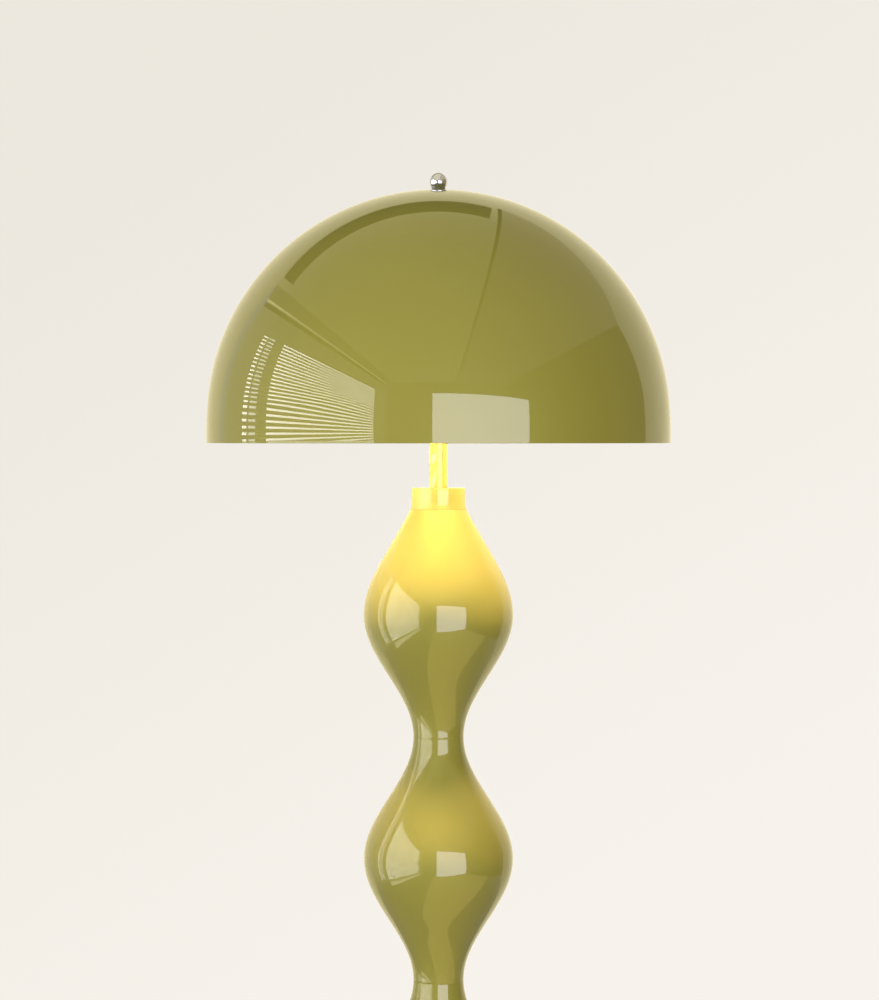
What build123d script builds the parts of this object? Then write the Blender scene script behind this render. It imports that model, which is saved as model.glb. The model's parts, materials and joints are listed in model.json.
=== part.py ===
"""Mushroom floor lamp: a domed shade and a cluster of three bulbs on a mast inside a wavy column.

Millimetres, +Z up. The origin is on the floor at the middle of the foot, and -Y is the front.
"""

from build123d import *

import os
from math import acos, asin, cos, degrees, pi, radians, sin, sqrt

# Shade, a hemisphere on a short straight skirt
shade_diameter = 450.0
shade_skirt = 20.0
shade_wall = 1.2
crown_land_radius = 12.0

# Column, which swells and narrows as a steady wave
bulge_diameter = 145.6
waist_diameter = 49.0
wave_pitch = 238.0
column_wall = 1.8
socket_depth = 10.0
full_waves = 3

# Top of the column, where the last bulge runs up to the neck
neck_rise = 102.7
neck_radius = 27.3
neck_lean = 27.0
bulge_roundness = 34.0
neck_straightness = 48.0
top_flange_thickness = 3.0

# Collar on the neck
collar_diameter = 52.2
collar_height = 21.0
collar_wall = 2.0
collar_lid = 2.5
collar_flare_height = 9.5

# Foot
foot_diameter = 300.0
foot_height = 237.0
foot_lip = 12.0
pad_thickness = 3.0
pad_margin = 8.0
pad_width = 34.0
plate_thickness = 5.0
weight_diameter = 176.0
weight_height = 30.0
weight_chamfer = 3.0
well_diameter = 60.0
channel_width = 14.0
channel_height = 17.0

# Mast and what fastens it
mast_diameter = 17.0
mast_wall = 1.5
joiner_length = 60.0
joiner_wall = 2.5
socket_flange_diameter = 92.0
socket_flange_thickness = 6.0
socket_boss_diameter = 30.0
socket_boss_height = 22.0
socket_boss_chamfer = 2.0
mast_seat_depth = 3.0
cable_hole_diameter = 12.0
ring_web = 4.0
ring_wall = 2.4
clamp_washer_diameter = 32.0
clamp_washer_thickness = 1.5
clamp_nut_flats = 24.0
clamp_nut_height = 8.0
stem_exposed = 43.5

# Screws
weight_screw_diameter = 6.0
weight_screw_length = 18.0
weight_screw_head = 12.0
weight_screw_circle_diameter = 140.0
socket_screw_diameter = 5.0
socket_screw_length = 14.0
socket_screw_head = 8.5
socket_screw_circle_diameter = 76.0
screw_count = 3
screw_hole_runout = 1.0
terminal_screw_diameter = 3.0
terminal_screw_head = 5.5
terminal_screw_head_height = 2.0

# Cord inlet and wiring
gland_bore = 7.0
gland_thread = 10.0
gland_flange_diameter = 14.0
gland_flange_thickness = 3.0
gland_height = 20.0
gland_shank = 14.0
gland_nut_flats = 14.0
gland_nut_height = 3.0
terminal_width = 24.0
terminal_depth = 18.0
terminal_height = 15.0
terminal_chamfer = 1.0
terminal_room = 12.0
cable_diameter = 6.0
cable_bend = 24.0
lead_diameter = 4.0

# Cluster hub
hub_above_rim = 70.0
hub_diameter = 46.0
hub_wall = 4.0
hub_below = 14.0
hub_above = 20.0
hub_floor = 10.0
hub_socket_depth = 8.0
hub_rounding = 4.0
lid_thickness = 3.0
lid_spigot = 3.0
connector_diameter = 16.0
connector_height = 9.0
connector_rounding = 1.0

# Threaded pipe from the hub to the crown
pipe_diameter = 10.0
pipe_bore = 7.0
pipe_above_crown = 10.0
pipe_tail = 1.0
pipe_nut_flats = 14.0
pipe_nut_height = 3.5
seat_flange_diameter = 44.0
seat_flange_thickness = 3.2
seat_relief = 0.5

# Finial
finial_diameter = 17.5
finial_base_diameter = 14.8
finial_height = 17.5
finial_bore_depth = 11.5
finial_washer_diameter = 14.0
finial_washer_thickness = 0.8

# Lamps, measured out along each lamp's axis from the middle of the hub
lamp_count = 3
lamp_tilt = 15.0
first_lamp_angle = 90.0
arm_start = 18.0
arm_length = 30.0
holder_start = 40.0
holder_entry_diameter = 18.0
holder_entry_length = 5.0
holder_diameter = 38.0
holder_wall = 2.0
holder_shoulder = 10.0
holder_cap_length = 26.0
holder_floor = 11.0
insert_ledge = 16.0
insert_ledge_width = 4.0
insert_thickness = 5.0
sleeve_length = 28.0
sleeve_diameter = 39.0
sleeve_wall = 3.5
sleeve_lip = 2.0
sleeve_mouth_diameter = 28.6
screw_shell_wall = 0.6
screw_shell_length = 26.0
screw_shell_flange_diameter = 29.6
contact_rivet_diameter = 4.8
contact_plate_diameter = 8.0
contact_plate_thickness = 1.0
contact_height = 2.2
contact_crown_diameter = 4.0
bulb_thread_diameter = 26.2
bulb_cap_wall = 0.6
bulb_cap_length = 26.5
bulb_cap_cone = 3.6
bulb_length = 108.0
globe_diameter = 60.0
globe_wall = 1.2
globe_seat_radius = 26.8
housing_neck_diameter = 27.2
housing_wall = 2.0
housing_neck_length = 4.0
housing_spigot_length = 18.0
end_contact_diameter = 9.0
end_contact_face_diameter = 5.2
end_contact_bevel = 1.7
end_contact_height = 3.5

# Clearances
slip_fit = 0.1
rest_gap = 0.3
screw_clearance = 0.25
plate_fit = 0.5

# Levels above the floor
plate_bottom = pad_thickness
plate_top = plate_bottom + plate_thickness
weight_top = plate_top + weight_height
foot_top = pad_thickness + foot_height
socket_top = weight_top + socket_flange_thickness
mast_bottom = socket_top - mast_seat_depth
top_waist = foot_top + full_waves * wave_pitch
top_bulge = top_waist + wave_pitch / 2
neck_level = top_bulge + neck_rise
collar_top = neck_level + collar_height
mast_joint = foot_top + (full_waves - 1) * wave_pitch
rim_level = collar_top + stem_exposed
dome_centre = rim_level + shade_skirt
hub_level = rim_level + hub_above_rim
hub_bottom = hub_level - hub_below
hub_top = hub_level + hub_above
lid_top = hub_top + lid_thickness
mast_top = hub_bottom + hub_socket_depth
hub_floor_top = hub_bottom + hub_floor

# Radii that several pieces share
shade_radius = shade_diameter / 2
shade_inner_radius = shade_radius - shade_wall
foot_radius = foot_diameter / 2
waist_radius = waist_diameter / 2
bulge_radius = bulge_diameter / 2
mast_radius = mast_diameter / 2
mast_bore = mast_radius - mast_wall
pipe_radius = pipe_diameter / 2
hub_radius = hub_diameter / 2
hub_cavity = hub_radius - hub_wall
plate_radius = foot_radius - column_wall - plate_fit
waist_bore = waist_radius - column_wall
crown_top = dome_centre + sqrt(shade_radius**2 - crown_land_radius**2)
crown_under = crown_top - shade_wall
under_land_radius = sqrt(shade_inner_radius**2 - (crown_under - dome_centre) ** 2)

os.makedirs("parts", exist_ok=True)


def wave(start_radius, end_radius, start, end, steps=8):
    """Points of the half wave that swings from one radius to the other between two levels."""
    points = []
    for step in range(steps + 1):
        share = step / steps
        radius = start_radius + (end_radius - start_radius) * (1 - cos(pi * share)) / 2
        points.append((radius, start + (end - start) * share))
    return points


def foot_radius_at(level):
    """The outer radius of the bell at a level above the floor."""
    share = (level - pad_thickness) / foot_height
    return foot_radius - (foot_radius - waist_radius) * (1 - cos(pi * share)) / 2


# Where the gland sits in the foot, and the terminal block on the plate inside it
gland_seat = foot_radius_at(gland_height)
terminal_distance = gland_seat - gland_shank - terminal_room - terminal_depth / 2


# Floor pad: a foam ring stuck under the plate
with BuildPart() as floor_pad:
    with BuildSketch():
        Circle(foot_radius - pad_margin)
        Circle(foot_radius - pad_margin - pad_width, mode=Mode.SUBTRACT)
    extrude(amount=pad_thickness)
floor_pad.part.label = "floor_pad"
export_step(floor_pad.part, "parts/floor_pad.step")


# Base plate with countersunk holes for the weight's screws
screw_head_depth = (weight_screw_head - weight_screw_diameter) / 2
with BuildPart() as base_plate:
    with BuildSketch(Plane.XY.offset(plate_bottom)):
        Circle(plate_radius)
    extrude(amount=plate_thickness)
    with Locations(Location((0, 0, plate_bottom), (180, 0, 0))):
        with PolarLocations(weight_screw_circle_diameter / 2, screw_count):
            CounterSinkHole(
                radius=weight_screw_diameter / 2 + screw_clearance,
                counter_sink_radius=weight_screw_head / 2 + screw_clearance,
            )
    with Locations((0, terminal_distance, plate_top)):
        Hole(terminal_screw_diameter / 2)
base_plate.part.label = "base_plate"
export_step(base_plate.part, "parts/base_plate.step")


# Cast weight: a disc with a well in the middle and a channel for the cable to the back
with BuildPart() as base_weight:
    with BuildSketch(Plane.XY.offset(plate_top)):
        Circle(weight_diameter / 2)
        Circle(well_diameter / 2, mode=Mode.SUBTRACT)
    extrude(amount=weight_height)
    with BuildSketch(Plane.XY.offset(plate_top)):
        with Locations((0, weight_diameter / 2)):
            Rectangle(channel_width, weight_diameter)
    extrude(amount=channel_height, mode=Mode.SUBTRACT)
    chamfer(base_weight.faces().sort_by(Axis.Z)[-1].outer_wire().edges(), length=weight_chamfer)
    with PolarLocations(weight_screw_circle_diameter / 2, screw_count):
        with Locations((0, 0, plate_top)):
            Cylinder(
                weight_screw_diameter / 2,
                weight_screw_length - plate_thickness + screw_hole_runout,
                align=(Align.CENTER, Align.CENTER, Align.MIN),
                mode=Mode.SUBTRACT,
            )
    with PolarLocations(socket_screw_circle_diameter / 2, screw_count, start_angle=30):
        with Locations((0, 0, weight_top)):
            Cylinder(
                socket_screw_diameter / 2,
                socket_screw_length - socket_flange_thickness + screw_hole_runout,
                align=(Align.CENTER, Align.CENTER, Align.MAX),
                mode=Mode.SUBTRACT,
            )
base_weight.part.label = "base_weight"
export_step(base_weight.part, "parts/base_weight.step")


# Countersunk screws that hold the weight on the plate
with BuildPart() as weight_screws:
    with PolarLocations(weight_screw_circle_diameter / 2, screw_count):
        with Locations((0, 0, plate_bottom)):
            Cylinder(
                weight_screw_diameter / 2,
                weight_screw_length,
                align=(Align.CENTER, Align.CENTER, Align.MIN),
            )
            Cone(
                weight_screw_head / 2,
                weight_screw_diameter / 2,
                screw_head_depth,
                align=(Align.CENTER, Align.CENTER, Align.MIN),
            )
weight_screws.part.label = "weight_screws"
export_step(weight_screws.part, "parts/weight_screws.step")


# Foot: a bell that flares from the lowest waist to the floor, with a lip that sits on the plate
foot_wave = wave(foot_radius, waist_radius, pad_thickness, foot_top)
foot_inner_wave = wave(foot_radius - column_wall, waist_bore, pad_thickness, foot_top)
gland_plane = Plane(origin=(0, gland_seat, gland_height), z_dir=(0, 1, 0))
with BuildPart() as foot_shell:
    with BuildSketch(Plane.XZ):
        with BuildLine():
            outside = Spline(foot_wave, tangents=[(0, 1), (0, 1)])
            inside = Spline(foot_inner_wave, tangents=[(0, 1), (0, 1)])
            Line(outside @ 0, inside @ 0)
            Line(outside @ 1, inside @ 1)
        make_face()
        with Locations((plate_radius, plate_top)):
            Rectangle(foot_lip, column_wall, align=(Align.MAX, Align.MIN))
            Rectangle(plate_fit + column_wall / 2, column_wall, align=(Align.MIN, Align.MIN))
        with Locations((waist_bore, foot_top)):
            Rectangle(column_wall, socket_depth, align=(Align.MIN, Align.MAX))
    revolve(axis=Axis.Z)
    with BuildSketch(gland_plane):
        Circle(gland_flange_diameter / 2 + screw_clearance)
    extrude(amount=gland_flange_thickness, mode=Mode.SUBTRACT)
    with BuildSketch(gland_plane.offset(-gland_shank)):
        Circle(gland_thread / 2 + slip_fit)
    extrude(amount=gland_shank, mode=Mode.SUBTRACT)
foot_shell.part.label = "foot_shell"
export_step(foot_shell.part, "parts/foot_shell.step")


# Mast socket: a flange over the well with a boss that the mast stands in
with BuildPart() as mast_socket:
    with BuildSketch(Plane.XY.offset(weight_top)):
        Circle(socket_flange_diameter / 2)
    extrude(amount=socket_flange_thickness)
    with BuildSketch(Plane.XY.offset(socket_top)):
        Circle(socket_boss_diameter / 2)
    extrude(amount=socket_boss_height)
    chamfer(mast_socket.faces().sort_by(Axis.Z)[-1].outer_wire().edges(), length=socket_boss_chamfer)
    with BuildSketch(Plane.XY.offset(mast_bottom)):
        Circle(mast_radius)
    extrude(amount=mast_seat_depth + socket_boss_height, mode=Mode.SUBTRACT)
    with BuildSketch(Plane.XY.offset(weight_top)):
        Circle(cable_hole_diameter / 2)
    extrude(amount=socket_flange_thickness, mode=Mode.SUBTRACT)
    with PolarLocations(socket_screw_circle_diameter / 2, screw_count, start_angle=30):
        with Locations((0, 0, socket_top)):
            Hole(socket_screw_diameter / 2 + screw_clearance)
mast_socket.part.label = "mast_socket"
export_step(mast_socket.part, "parts/mast_socket.step")


# Cap screws that hold the socket on the weight
with BuildPart() as socket_screws:
    with PolarLocations(socket_screw_circle_diameter / 2, screw_count, start_angle=30):
        with Locations((0, 0, socket_top)):
            Cylinder(
                socket_screw_diameter / 2,
                socket_screw_length,
                align=(Align.CENTER, Align.CENTER, Align.MAX),
            )
            Cylinder(
                socket_screw_head / 2,
                socket_screw_diameter,
                align=(Align.CENTER, Align.CENTER, Align.MIN),
            )
        with Locations((0, 0, socket_top + socket_screw_diameter)):
            with BuildSketch():
                RegularPolygon(socket_screw_diameter / 2 - screw_clearance, 6)
            extrude(amount=-socket_screw_diameter / 2, mode=Mode.SUBTRACT)
socket_screws.part.label = "socket_screws"
export_step(socket_screws.part, "parts/socket_screws.step")


# Mast: two lengths of tube and the sleeve that joins them inside
with BuildPart() as mast_lower:
    with BuildSketch(Plane.XY.offset(mast_bottom)):
        Circle(mast_radius)
        Circle(mast_bore, mode=Mode.SUBTRACT)
    extrude(amount=mast_joint - mast_bottom)
mast_lower.part.label = "mast_lower"
export_step(mast_lower.part, "parts/mast_lower.step")

with BuildPart() as mast_upper:
    with BuildSketch(Plane.XY.offset(mast_joint)):
        Circle(mast_radius)
        Circle(mast_bore, mode=Mode.SUBTRACT)
    extrude(amount=mast_top - mast_joint)
mast_upper.part.label = "mast_upper"
export_step(mast_upper.part, "parts/mast_upper.step")

with BuildPart() as mast_joiner:
    with BuildSketch(Plane.XY.offset(mast_joint - joiner_length / 2)):
        Circle(mast_bore)
        Circle(mast_bore - joiner_wall, mode=Mode.SUBTRACT)
    extrude(amount=joiner_length)
mast_joiner.part.label = "mast_joiner"
export_step(mast_joiner.part, "parts/mast_joiner.step")


# Centring rings: a spool at each waist that fits the shells' sockets and the mast
ring_radius = waist_bore - slip_fit
ring_half_height = socket_depth - rest_gap
for number in range(1, full_waves + 2):
    waist_level = foot_top + (number - 1) * wave_pitch
    with BuildPart() as centring_ring:
        with BuildSketch(Plane.XZ):
            with Locations((0, waist_level)):
                Rectangle(ring_radius, 2 * ring_half_height, align=(Align.MIN, Align.CENTER))
            with Locations((mast_radius + slip_fit + ring_wall, waist_level)):
                pocket = ring_radius - 2 * ring_wall - mast_radius - slip_fit
                Rectangle(pocket, 2 * ring_half_height, align=(Align.MIN, Align.CENTER), mode=Mode.SUBTRACT)
                Rectangle(pocket, ring_web, align=(Align.MIN, Align.CENTER))
            with Locations((0, waist_level)):
                Rectangle(
                    mast_radius + slip_fit,
                    2 * ring_half_height,
                    align=(Align.MIN, Align.CENTER),
                    mode=Mode.SUBTRACT,
                )
        revolve(axis=Axis.Z)
    centring_ring.part.label = f"centring_ring_{number}"
    export_step(centring_ring.part, f"parts/centring_ring_{number}.step")


# Column shells: one full wave each, with a straight socket at both ends
bulge_bore = bulge_radius - column_wall
for number in range(1, full_waves + 1):
    bottom = foot_top + (number - 1) * wave_pitch
    middle = bottom + wave_pitch / 2
    top = bottom + wave_pitch
    with BuildPart() as column_shell:
        with BuildSketch(Plane.XZ):
            with BuildLine():
                lower = Spline(wave(waist_radius, bulge_radius, bottom, middle), tangents=[(0, 1), (0, 1)])
                upper = Spline(wave(bulge_radius, waist_radius, middle, top), tangents=[(0, 1), (0, 1)])
                Line(upper @ 1, (waist_bore, top))
                Spline(wave(bulge_bore, waist_bore, middle, top), tangents=[(0, 1), (0, 1)])
                Spline(wave(waist_bore, bulge_bore, bottom, middle), tangents=[(0, 1), (0, 1)])
                Line((waist_bore, bottom), lower @ 0)
            make_face()
            with Locations((waist_bore, bottom)):
                Rectangle(column_wall, socket_depth, align=(Align.MIN, Align.MIN))
            with Locations((waist_bore, top)):
                Rectangle(column_wall, socket_depth, align=(Align.MIN, Align.MAX))
        revolve(axis=Axis.Z)
    column_shell.part.label = f"column_shell_{number}"
    export_step(column_shell.part, f"parts/column_shell_{number}.step")


# Top shell: the last bulge, which runs up to the neck and ends in a flange round the mast
neck_slope = radians(neck_lean)
neck_handle = Vector(
    neck_radius + neck_straightness * sin(neck_slope),
    neck_level - neck_straightness * cos(neck_slope),
)
through_wall = Vector(column_wall, 0)
bulge_point = Vector(bulge_radius, top_bulge)
bulge_handle = Vector(bulge_radius, top_bulge + bulge_roundness)
neck_point = Vector(neck_radius, neck_level)
with BuildPart() as column_top_shell:
    with BuildSketch(Plane.XZ):
        with BuildLine():
            lower = Spline(wave(waist_radius, bulge_radius, top_waist, top_bulge), tangents=[(0, 1), (0, 1)])
            Bezier(bulge_point, bulge_handle, neck_handle, neck_point)
            Line(neck_point, neck_point - through_wall)
            Bezier(
                neck_point - through_wall,
                neck_handle - through_wall,
                bulge_handle - through_wall,
                bulge_point - through_wall,
            )
            Spline(wave(waist_bore, bulge_bore, top_waist, top_bulge), tangents=[(0, 1), (0, 1)])
            Line((waist_bore, top_waist), lower @ 0)
        make_face()
        with Locations((waist_bore, top_waist)):
            Rectangle(column_wall, socket_depth, align=(Align.MIN, Align.MIN))
        with Locations((mast_radius + slip_fit, neck_level)):
            Rectangle(
                neck_radius - column_wall / 2 - mast_radius - slip_fit,
                top_flange_thickness,
                align=(Align.MIN, Align.MAX),
            )
    revolve(axis=Axis.Z)
column_top_shell.part.label = "column_top_shell"
export_step(column_top_shell.part, "parts/column_top_shell.step")


# Washer and nut that pull the shells down on the foot
with BuildPart() as clamp_washer:
    with BuildSketch(Plane.XY.offset(neck_level)):
        Circle(clamp_washer_diameter / 2)
        Circle(mast_radius + slip_fit, mode=Mode.SUBTRACT)
    extrude(amount=clamp_washer_thickness)
clamp_washer.part.label = "clamp_washer"
export_step(clamp_washer.part, "parts/clamp_washer.step")

with BuildPart() as clamp_nut:
    with BuildSketch(Plane.XY.offset(neck_level + clamp_washer_thickness)):
        RegularPolygon(clamp_nut_flats / 2, 6, major_radius=False)
        Circle(mast_radius, mode=Mode.SUBTRACT)
    extrude(amount=clamp_nut_height)
clamp_nut.part.label = "clamp_nut"
export_step(clamp_nut.part, "parts/clamp_nut.step")


# Neck collar: a cup over the nut, flared a little where it meets the neck
collar_radius = collar_diameter / 2
with BuildPart() as neck_collar:
    with BuildSketch(Plane.XZ):
        with BuildLine():
            side = Line((collar_radius, collar_top), (collar_radius, neck_level + collar_flare_height))
            TangentArc(side @ 1, (neck_radius, neck_level), tangent=side % 1)
            Polyline(
                (neck_radius, neck_level),
                (collar_radius - collar_wall, neck_level),
                (collar_radius - collar_wall, collar_top - collar_lid),
                (mast_radius + slip_fit, collar_top - collar_lid),
                (mast_radius + slip_fit, collar_top),
                (collar_radius, collar_top),
            )
        make_face()
    revolve(axis=Axis.Z)
neck_collar.part.label = "neck_collar"
export_step(neck_collar.part, "parts/neck_collar.step")


# Cord gland through the back of the foot, and its nut inside
with BuildPart() as cord_gland:
    with BuildSketch(gland_plane.offset(-gland_shank)):
        Circle(gland_thread / 2)
    extrude(amount=gland_shank)
    with BuildSketch(gland_plane):
        Circle(gland_flange_diameter / 2)
    extrude(amount=gland_flange_thickness)
    fillet(cord_gland.faces().sort_by(Axis.Y)[-1].edges(), radius=gland_flange_thickness / 3)
    with BuildSketch(gland_plane.offset(-gland_shank)):
        Circle(gland_bore / 2)
    extrude(amount=gland_shank + gland_flange_thickness, mode=Mode.SUBTRACT)
cord_gland.part.label = "cord_gland"
export_step(cord_gland.part, "parts/cord_gland.step")

gland_nut_corner = gland_nut_flats / 2 / cos(pi / 6)
gland_nut_seat = foot_radius_at(gland_height + gland_nut_corner) - column_wall - rest_gap
with BuildPart() as gland_nut:
    with BuildSketch(Plane(origin=(0, gland_nut_seat, gland_height), z_dir=(0, -1, 0))):
        RegularPolygon(gland_nut_flats / 2, 6, major_radius=False)
        Circle(gland_thread / 2, mode=Mode.SUBTRACT)
    extrude(amount=gland_nut_height)
gland_nut.part.label = "gland_nut"
export_step(gland_nut.part, "parts/gland_nut.step")


# Terminal block behind the weight, where the cord meets the cable, and its screw
terminal_top = plate_top + terminal_height
with BuildPart() as terminal_block:
    with BuildSketch(Plane.XY.offset(plate_top)):
        with Locations((0, terminal_distance)):
            Rectangle(terminal_width, terminal_depth)
    extrude(amount=terminal_height)
    chamfer(terminal_block.faces().sort_by(Axis.Z)[-1].edges(), length=terminal_chamfer)
    with Locations((0, terminal_distance, terminal_top)):
        Hole(terminal_screw_diameter / 2)
terminal_block.part.label = "terminal_block"
export_step(terminal_block.part, "parts/terminal_block.step")

with BuildPart() as terminal_screw:
    with Locations((0, terminal_distance, terminal_top)):
        Cylinder(
            terminal_screw_diameter / 2,
            terminal_height + plate_thickness,
            align=(Align.CENTER, Align.CENTER, Align.MAX),
        )
        Cylinder(
            terminal_screw_head / 2,
            terminal_screw_head_height,
            align=(Align.CENTER, Align.CENTER, Align.MIN),
        )
    fillet(terminal_screw.faces().sort_by(Axis.Z)[-1].edges(), radius=terminal_screw_head_height / 2)
terminal_screw.part.label = "terminal_screw"
export_step(terminal_screw.part, "parts/terminal_screw.step")


# Cable: from the terminal block along the channel, round into the mast and up to the hub
cable_level = plate_top + channel_height / 2
cable_start = (0, terminal_distance - terminal_depth / 2, cable_level)
with BuildPart() as mains_cable:
    with BuildLine():
        FilletPolyline(
            cable_start,
            (0, 0, cable_level),
            (0, 0, hub_floor_top),
            radius=cable_bend,
        )
    with BuildSketch(Plane(origin=cable_start, z_dir=(0, -1, 0))):
        Circle(cable_diameter / 2)
    sweep()
mains_cable.part.label = "mains_cable"
export_step(mains_cable.part, "parts/mains_cable.step")
cable_run = terminal_distance - terminal_depth / 2 + hub_floor_top - cable_level - (2 - pi / 2) * cable_bend
cable_volume = pi * (cable_diameter / 2) ** 2 * cable_run
print("cable volume", mains_cable.part.volume, "expected", cable_volume, "bend radius", cable_bend)


# Lamp positions: each lamp's axis starts in the middle of the hub and leans up a little
def lamp_frame(number):
    """The page that a lamp's profile is drawn on, with its axis up the page, and that axis."""
    turn = radians(first_lamp_angle + number * 360 / lamp_count)
    lean = radians(lamp_tilt)
    outward = Vector(cos(turn) * cos(lean), sin(turn) * cos(lean), sin(lean))
    upward = Vector(-cos(turn) * sin(lean), -sin(turn) * sin(lean), cos(lean))
    centre = Vector(0, 0, hub_level)
    return Plane(origin=centre, x_dir=upward, z_dir=upward.cross(outward)), Axis(centre, outward)


lamp_frames = [lamp_frame(number) for number in range(lamp_count)]


# Cluster hub: a cup on top of the mast with a threaded hole for each arm
with BuildPart() as cluster_hub:
    with BuildSketch(Plane.XY.offset(hub_bottom)):
        Circle(hub_radius)
    extrude(amount=hub_below + hub_above)
    fillet(cluster_hub.faces().sort_by(Axis.Z)[0].edges(), radius=hub_rounding)
    with BuildSketch(Plane.XY.offset(hub_floor_top)):
        Circle(hub_cavity)
    extrude(amount=hub_top - hub_floor_top, mode=Mode.SUBTRACT)
    with BuildSketch(Plane.XY.offset(hub_bottom)):
        Circle(mast_radius)
    extrude(amount=hub_socket_depth, mode=Mode.SUBTRACT)
    with BuildSketch(Plane.XY.offset(hub_bottom)):
        Circle(cable_hole_diameter / 2)
    extrude(amount=hub_floor, mode=Mode.SUBTRACT)
    for page, axis in lamp_frames:
        with BuildSketch(page):
            Rectangle(pipe_radius, 2 * hub_radius, align=(Align.MIN, Align.MIN))
        revolve(axis=axis, mode=Mode.SUBTRACT)
cluster_hub.part.label = "cluster_hub"
export_step(cluster_hub.part, "parts/cluster_hub.step")


# Lid of the hub, with a spigot that fits the cup
with BuildPart() as hub_lid:
    with BuildSketch(Plane.XY.offset(hub_top)):
        Circle(hub_radius)
    extrude(amount=lid_thickness)
    fillet(hub_lid.faces().sort_by(Axis.Z)[-1].edges(), radius=lid_thickness / 2)
    with BuildSketch(Plane.XY.offset(hub_top - lid_spigot)):
        Circle(hub_cavity - slip_fit)
    extrude(amount=lid_spigot)
    with BuildSketch(Plane.XY.offset(hub_top - lid_spigot)):
        Circle(pipe_radius)
    extrude(amount=lid_spigot + lid_thickness, mode=Mode.SUBTRACT)
hub_lid.part.label = "hub_lid"
export_step(hub_lid.part, "parts/hub_lid.step")


# Connector in the hub, where the cable splits into a lead for each lamp
with BuildPart() as wire_connector:
    with BuildSketch(Plane.XY.offset(hub_floor_top)):
        Circle(connector_diameter / 2)
    extrude(amount=connector_height)
    fillet(wire_connector.faces().sort_by(Axis.Z)[-1].edges(), radius=connector_rounding)
wire_connector.part.label = "wire_connector"
export_step(wire_connector.part, "parts/wire_connector.step")


# Arms: threaded tubes from the hub into the lampholders
with BuildPart() as lamp_arms:
    for page, axis in lamp_frames:
        with BuildSketch(page):
            with Locations((pipe_bore / 2, arm_start)):
                Rectangle(pipe_radius - pipe_bore / 2, arm_length, align=(Align.MIN, Align.MIN))
        revolve(axis=axis)
lamp_arms.part.label = "lamp_arms"
export_step(lamp_arms.part, "parts/lamp_arms.step")


# Leads through the arms to the lampholders' contacts
insert_level = holder_start + insert_ledge
lead_radius = lead_diameter / 2
lean_radians = radians(lamp_tilt)
lead_start = (connector_diameter / 2 + lead_radius * sin(lean_radians)) / cos(lean_radians)
with BuildPart() as lamp_leads:
    for page, axis in lamp_frames:
        with BuildSketch(page):
            with Locations((0, lead_start)):
                Rectangle(lead_radius, insert_level - lead_start, align=(Align.MIN, Align.MIN))
        revolve(axis=axis)
lamp_leads.part.label = "lamp_leads"
export_step(lamp_leads.part, "parts/lamp_leads.step")


# Lampholders. Distances are along the lamp's axis
holder_radius = holder_diameter / 2
holder_bore = holder_radius - holder_wall
holder_mouth = holder_start + holder_cap_length
insert_face = insert_level + insert_thickness
ledge_bore = holder_bore - insert_ledge_width
for number, (page, axis) in enumerate(lamp_frames, start=1):
    with BuildPart() as holder_cap:
        with BuildSketch(page):
            with BuildLine():
                Polyline(
                    (pipe_radius, holder_start),
                    (holder_entry_diameter / 2, holder_start),
                    (holder_entry_diameter / 2, holder_start + holder_entry_length),
                    (holder_radius, holder_start + holder_entry_length + holder_shoulder),
                    (holder_radius, holder_mouth),
                    (holder_bore, holder_mouth),
                    (holder_bore, insert_level),
                    (ledge_bore, insert_level),
                    (ledge_bore, holder_start + holder_floor),
                    (pipe_radius, holder_start + holder_floor),
                    close=True,
                )
            make_face()
        revolve(axis=axis)
    holder_cap.part.label = f"holder_cap_{number}"
    export_step(holder_cap.part, f"parts/holder_cap_{number}.step")

    with BuildPart() as holder_insert:
        with BuildSketch(page):
            with Locations((contact_rivet_diameter / 2, insert_level)):
                insert_width = holder_bore - slip_fit - contact_rivet_diameter / 2
                Rectangle(insert_width, insert_thickness, align=(Align.MIN, Align.MIN))
        revolve(axis=axis)
    holder_insert.part.label = f"holder_insert_{number}"
    export_step(holder_insert.part, f"parts/holder_insert_{number}.step")

    sleeve_radius = sleeve_diameter / 2
    sleeve_bore = sleeve_radius - sleeve_wall
    sleeve_mouth = holder_mouth + sleeve_length
    with BuildPart() as holder_sleeve:
        with BuildSketch(page):
            with BuildLine():
                Polyline(
                    (sleeve_bore, insert_face),
                    (holder_bore - slip_fit, insert_face),
                    (holder_bore - slip_fit, holder_mouth),
                    (sleeve_radius, holder_mouth),
                    (sleeve_radius, sleeve_mouth),
                    (sleeve_mouth_diameter / 2, sleeve_mouth),
                    (sleeve_mouth_diameter / 2, sleeve_mouth - sleeve_lip),
                    (sleeve_bore, sleeve_mouth - sleeve_lip),
                    close=True,
                )
            make_face()
        revolve(axis=axis)
    holder_sleeve.part.label = f"holder_sleeve_{number}"
    export_step(holder_sleeve.part, f"parts/holder_sleeve_{number}.step")


# Screw shells that take the bulbs' threads
screw_bore = bulb_thread_diameter / 2 + slip_fit
with BuildPart() as screw_shells:
    for page, axis in lamp_frames:
        with BuildSketch(page):
            with Locations((screw_bore, insert_face)):
                Rectangle(screw_shell_wall, screw_shell_length, align=(Align.MIN, Align.MIN))
                Rectangle(
                    screw_shell_flange_diameter / 2 - screw_bore,
                    screw_shell_wall,
                    align=(Align.MIN, Align.MIN),
                )
        revolve(axis=axis)
screw_shells.part.label = "screw_shells"
export_step(screw_shells.part, "parts/screw_shells.step")


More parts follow.
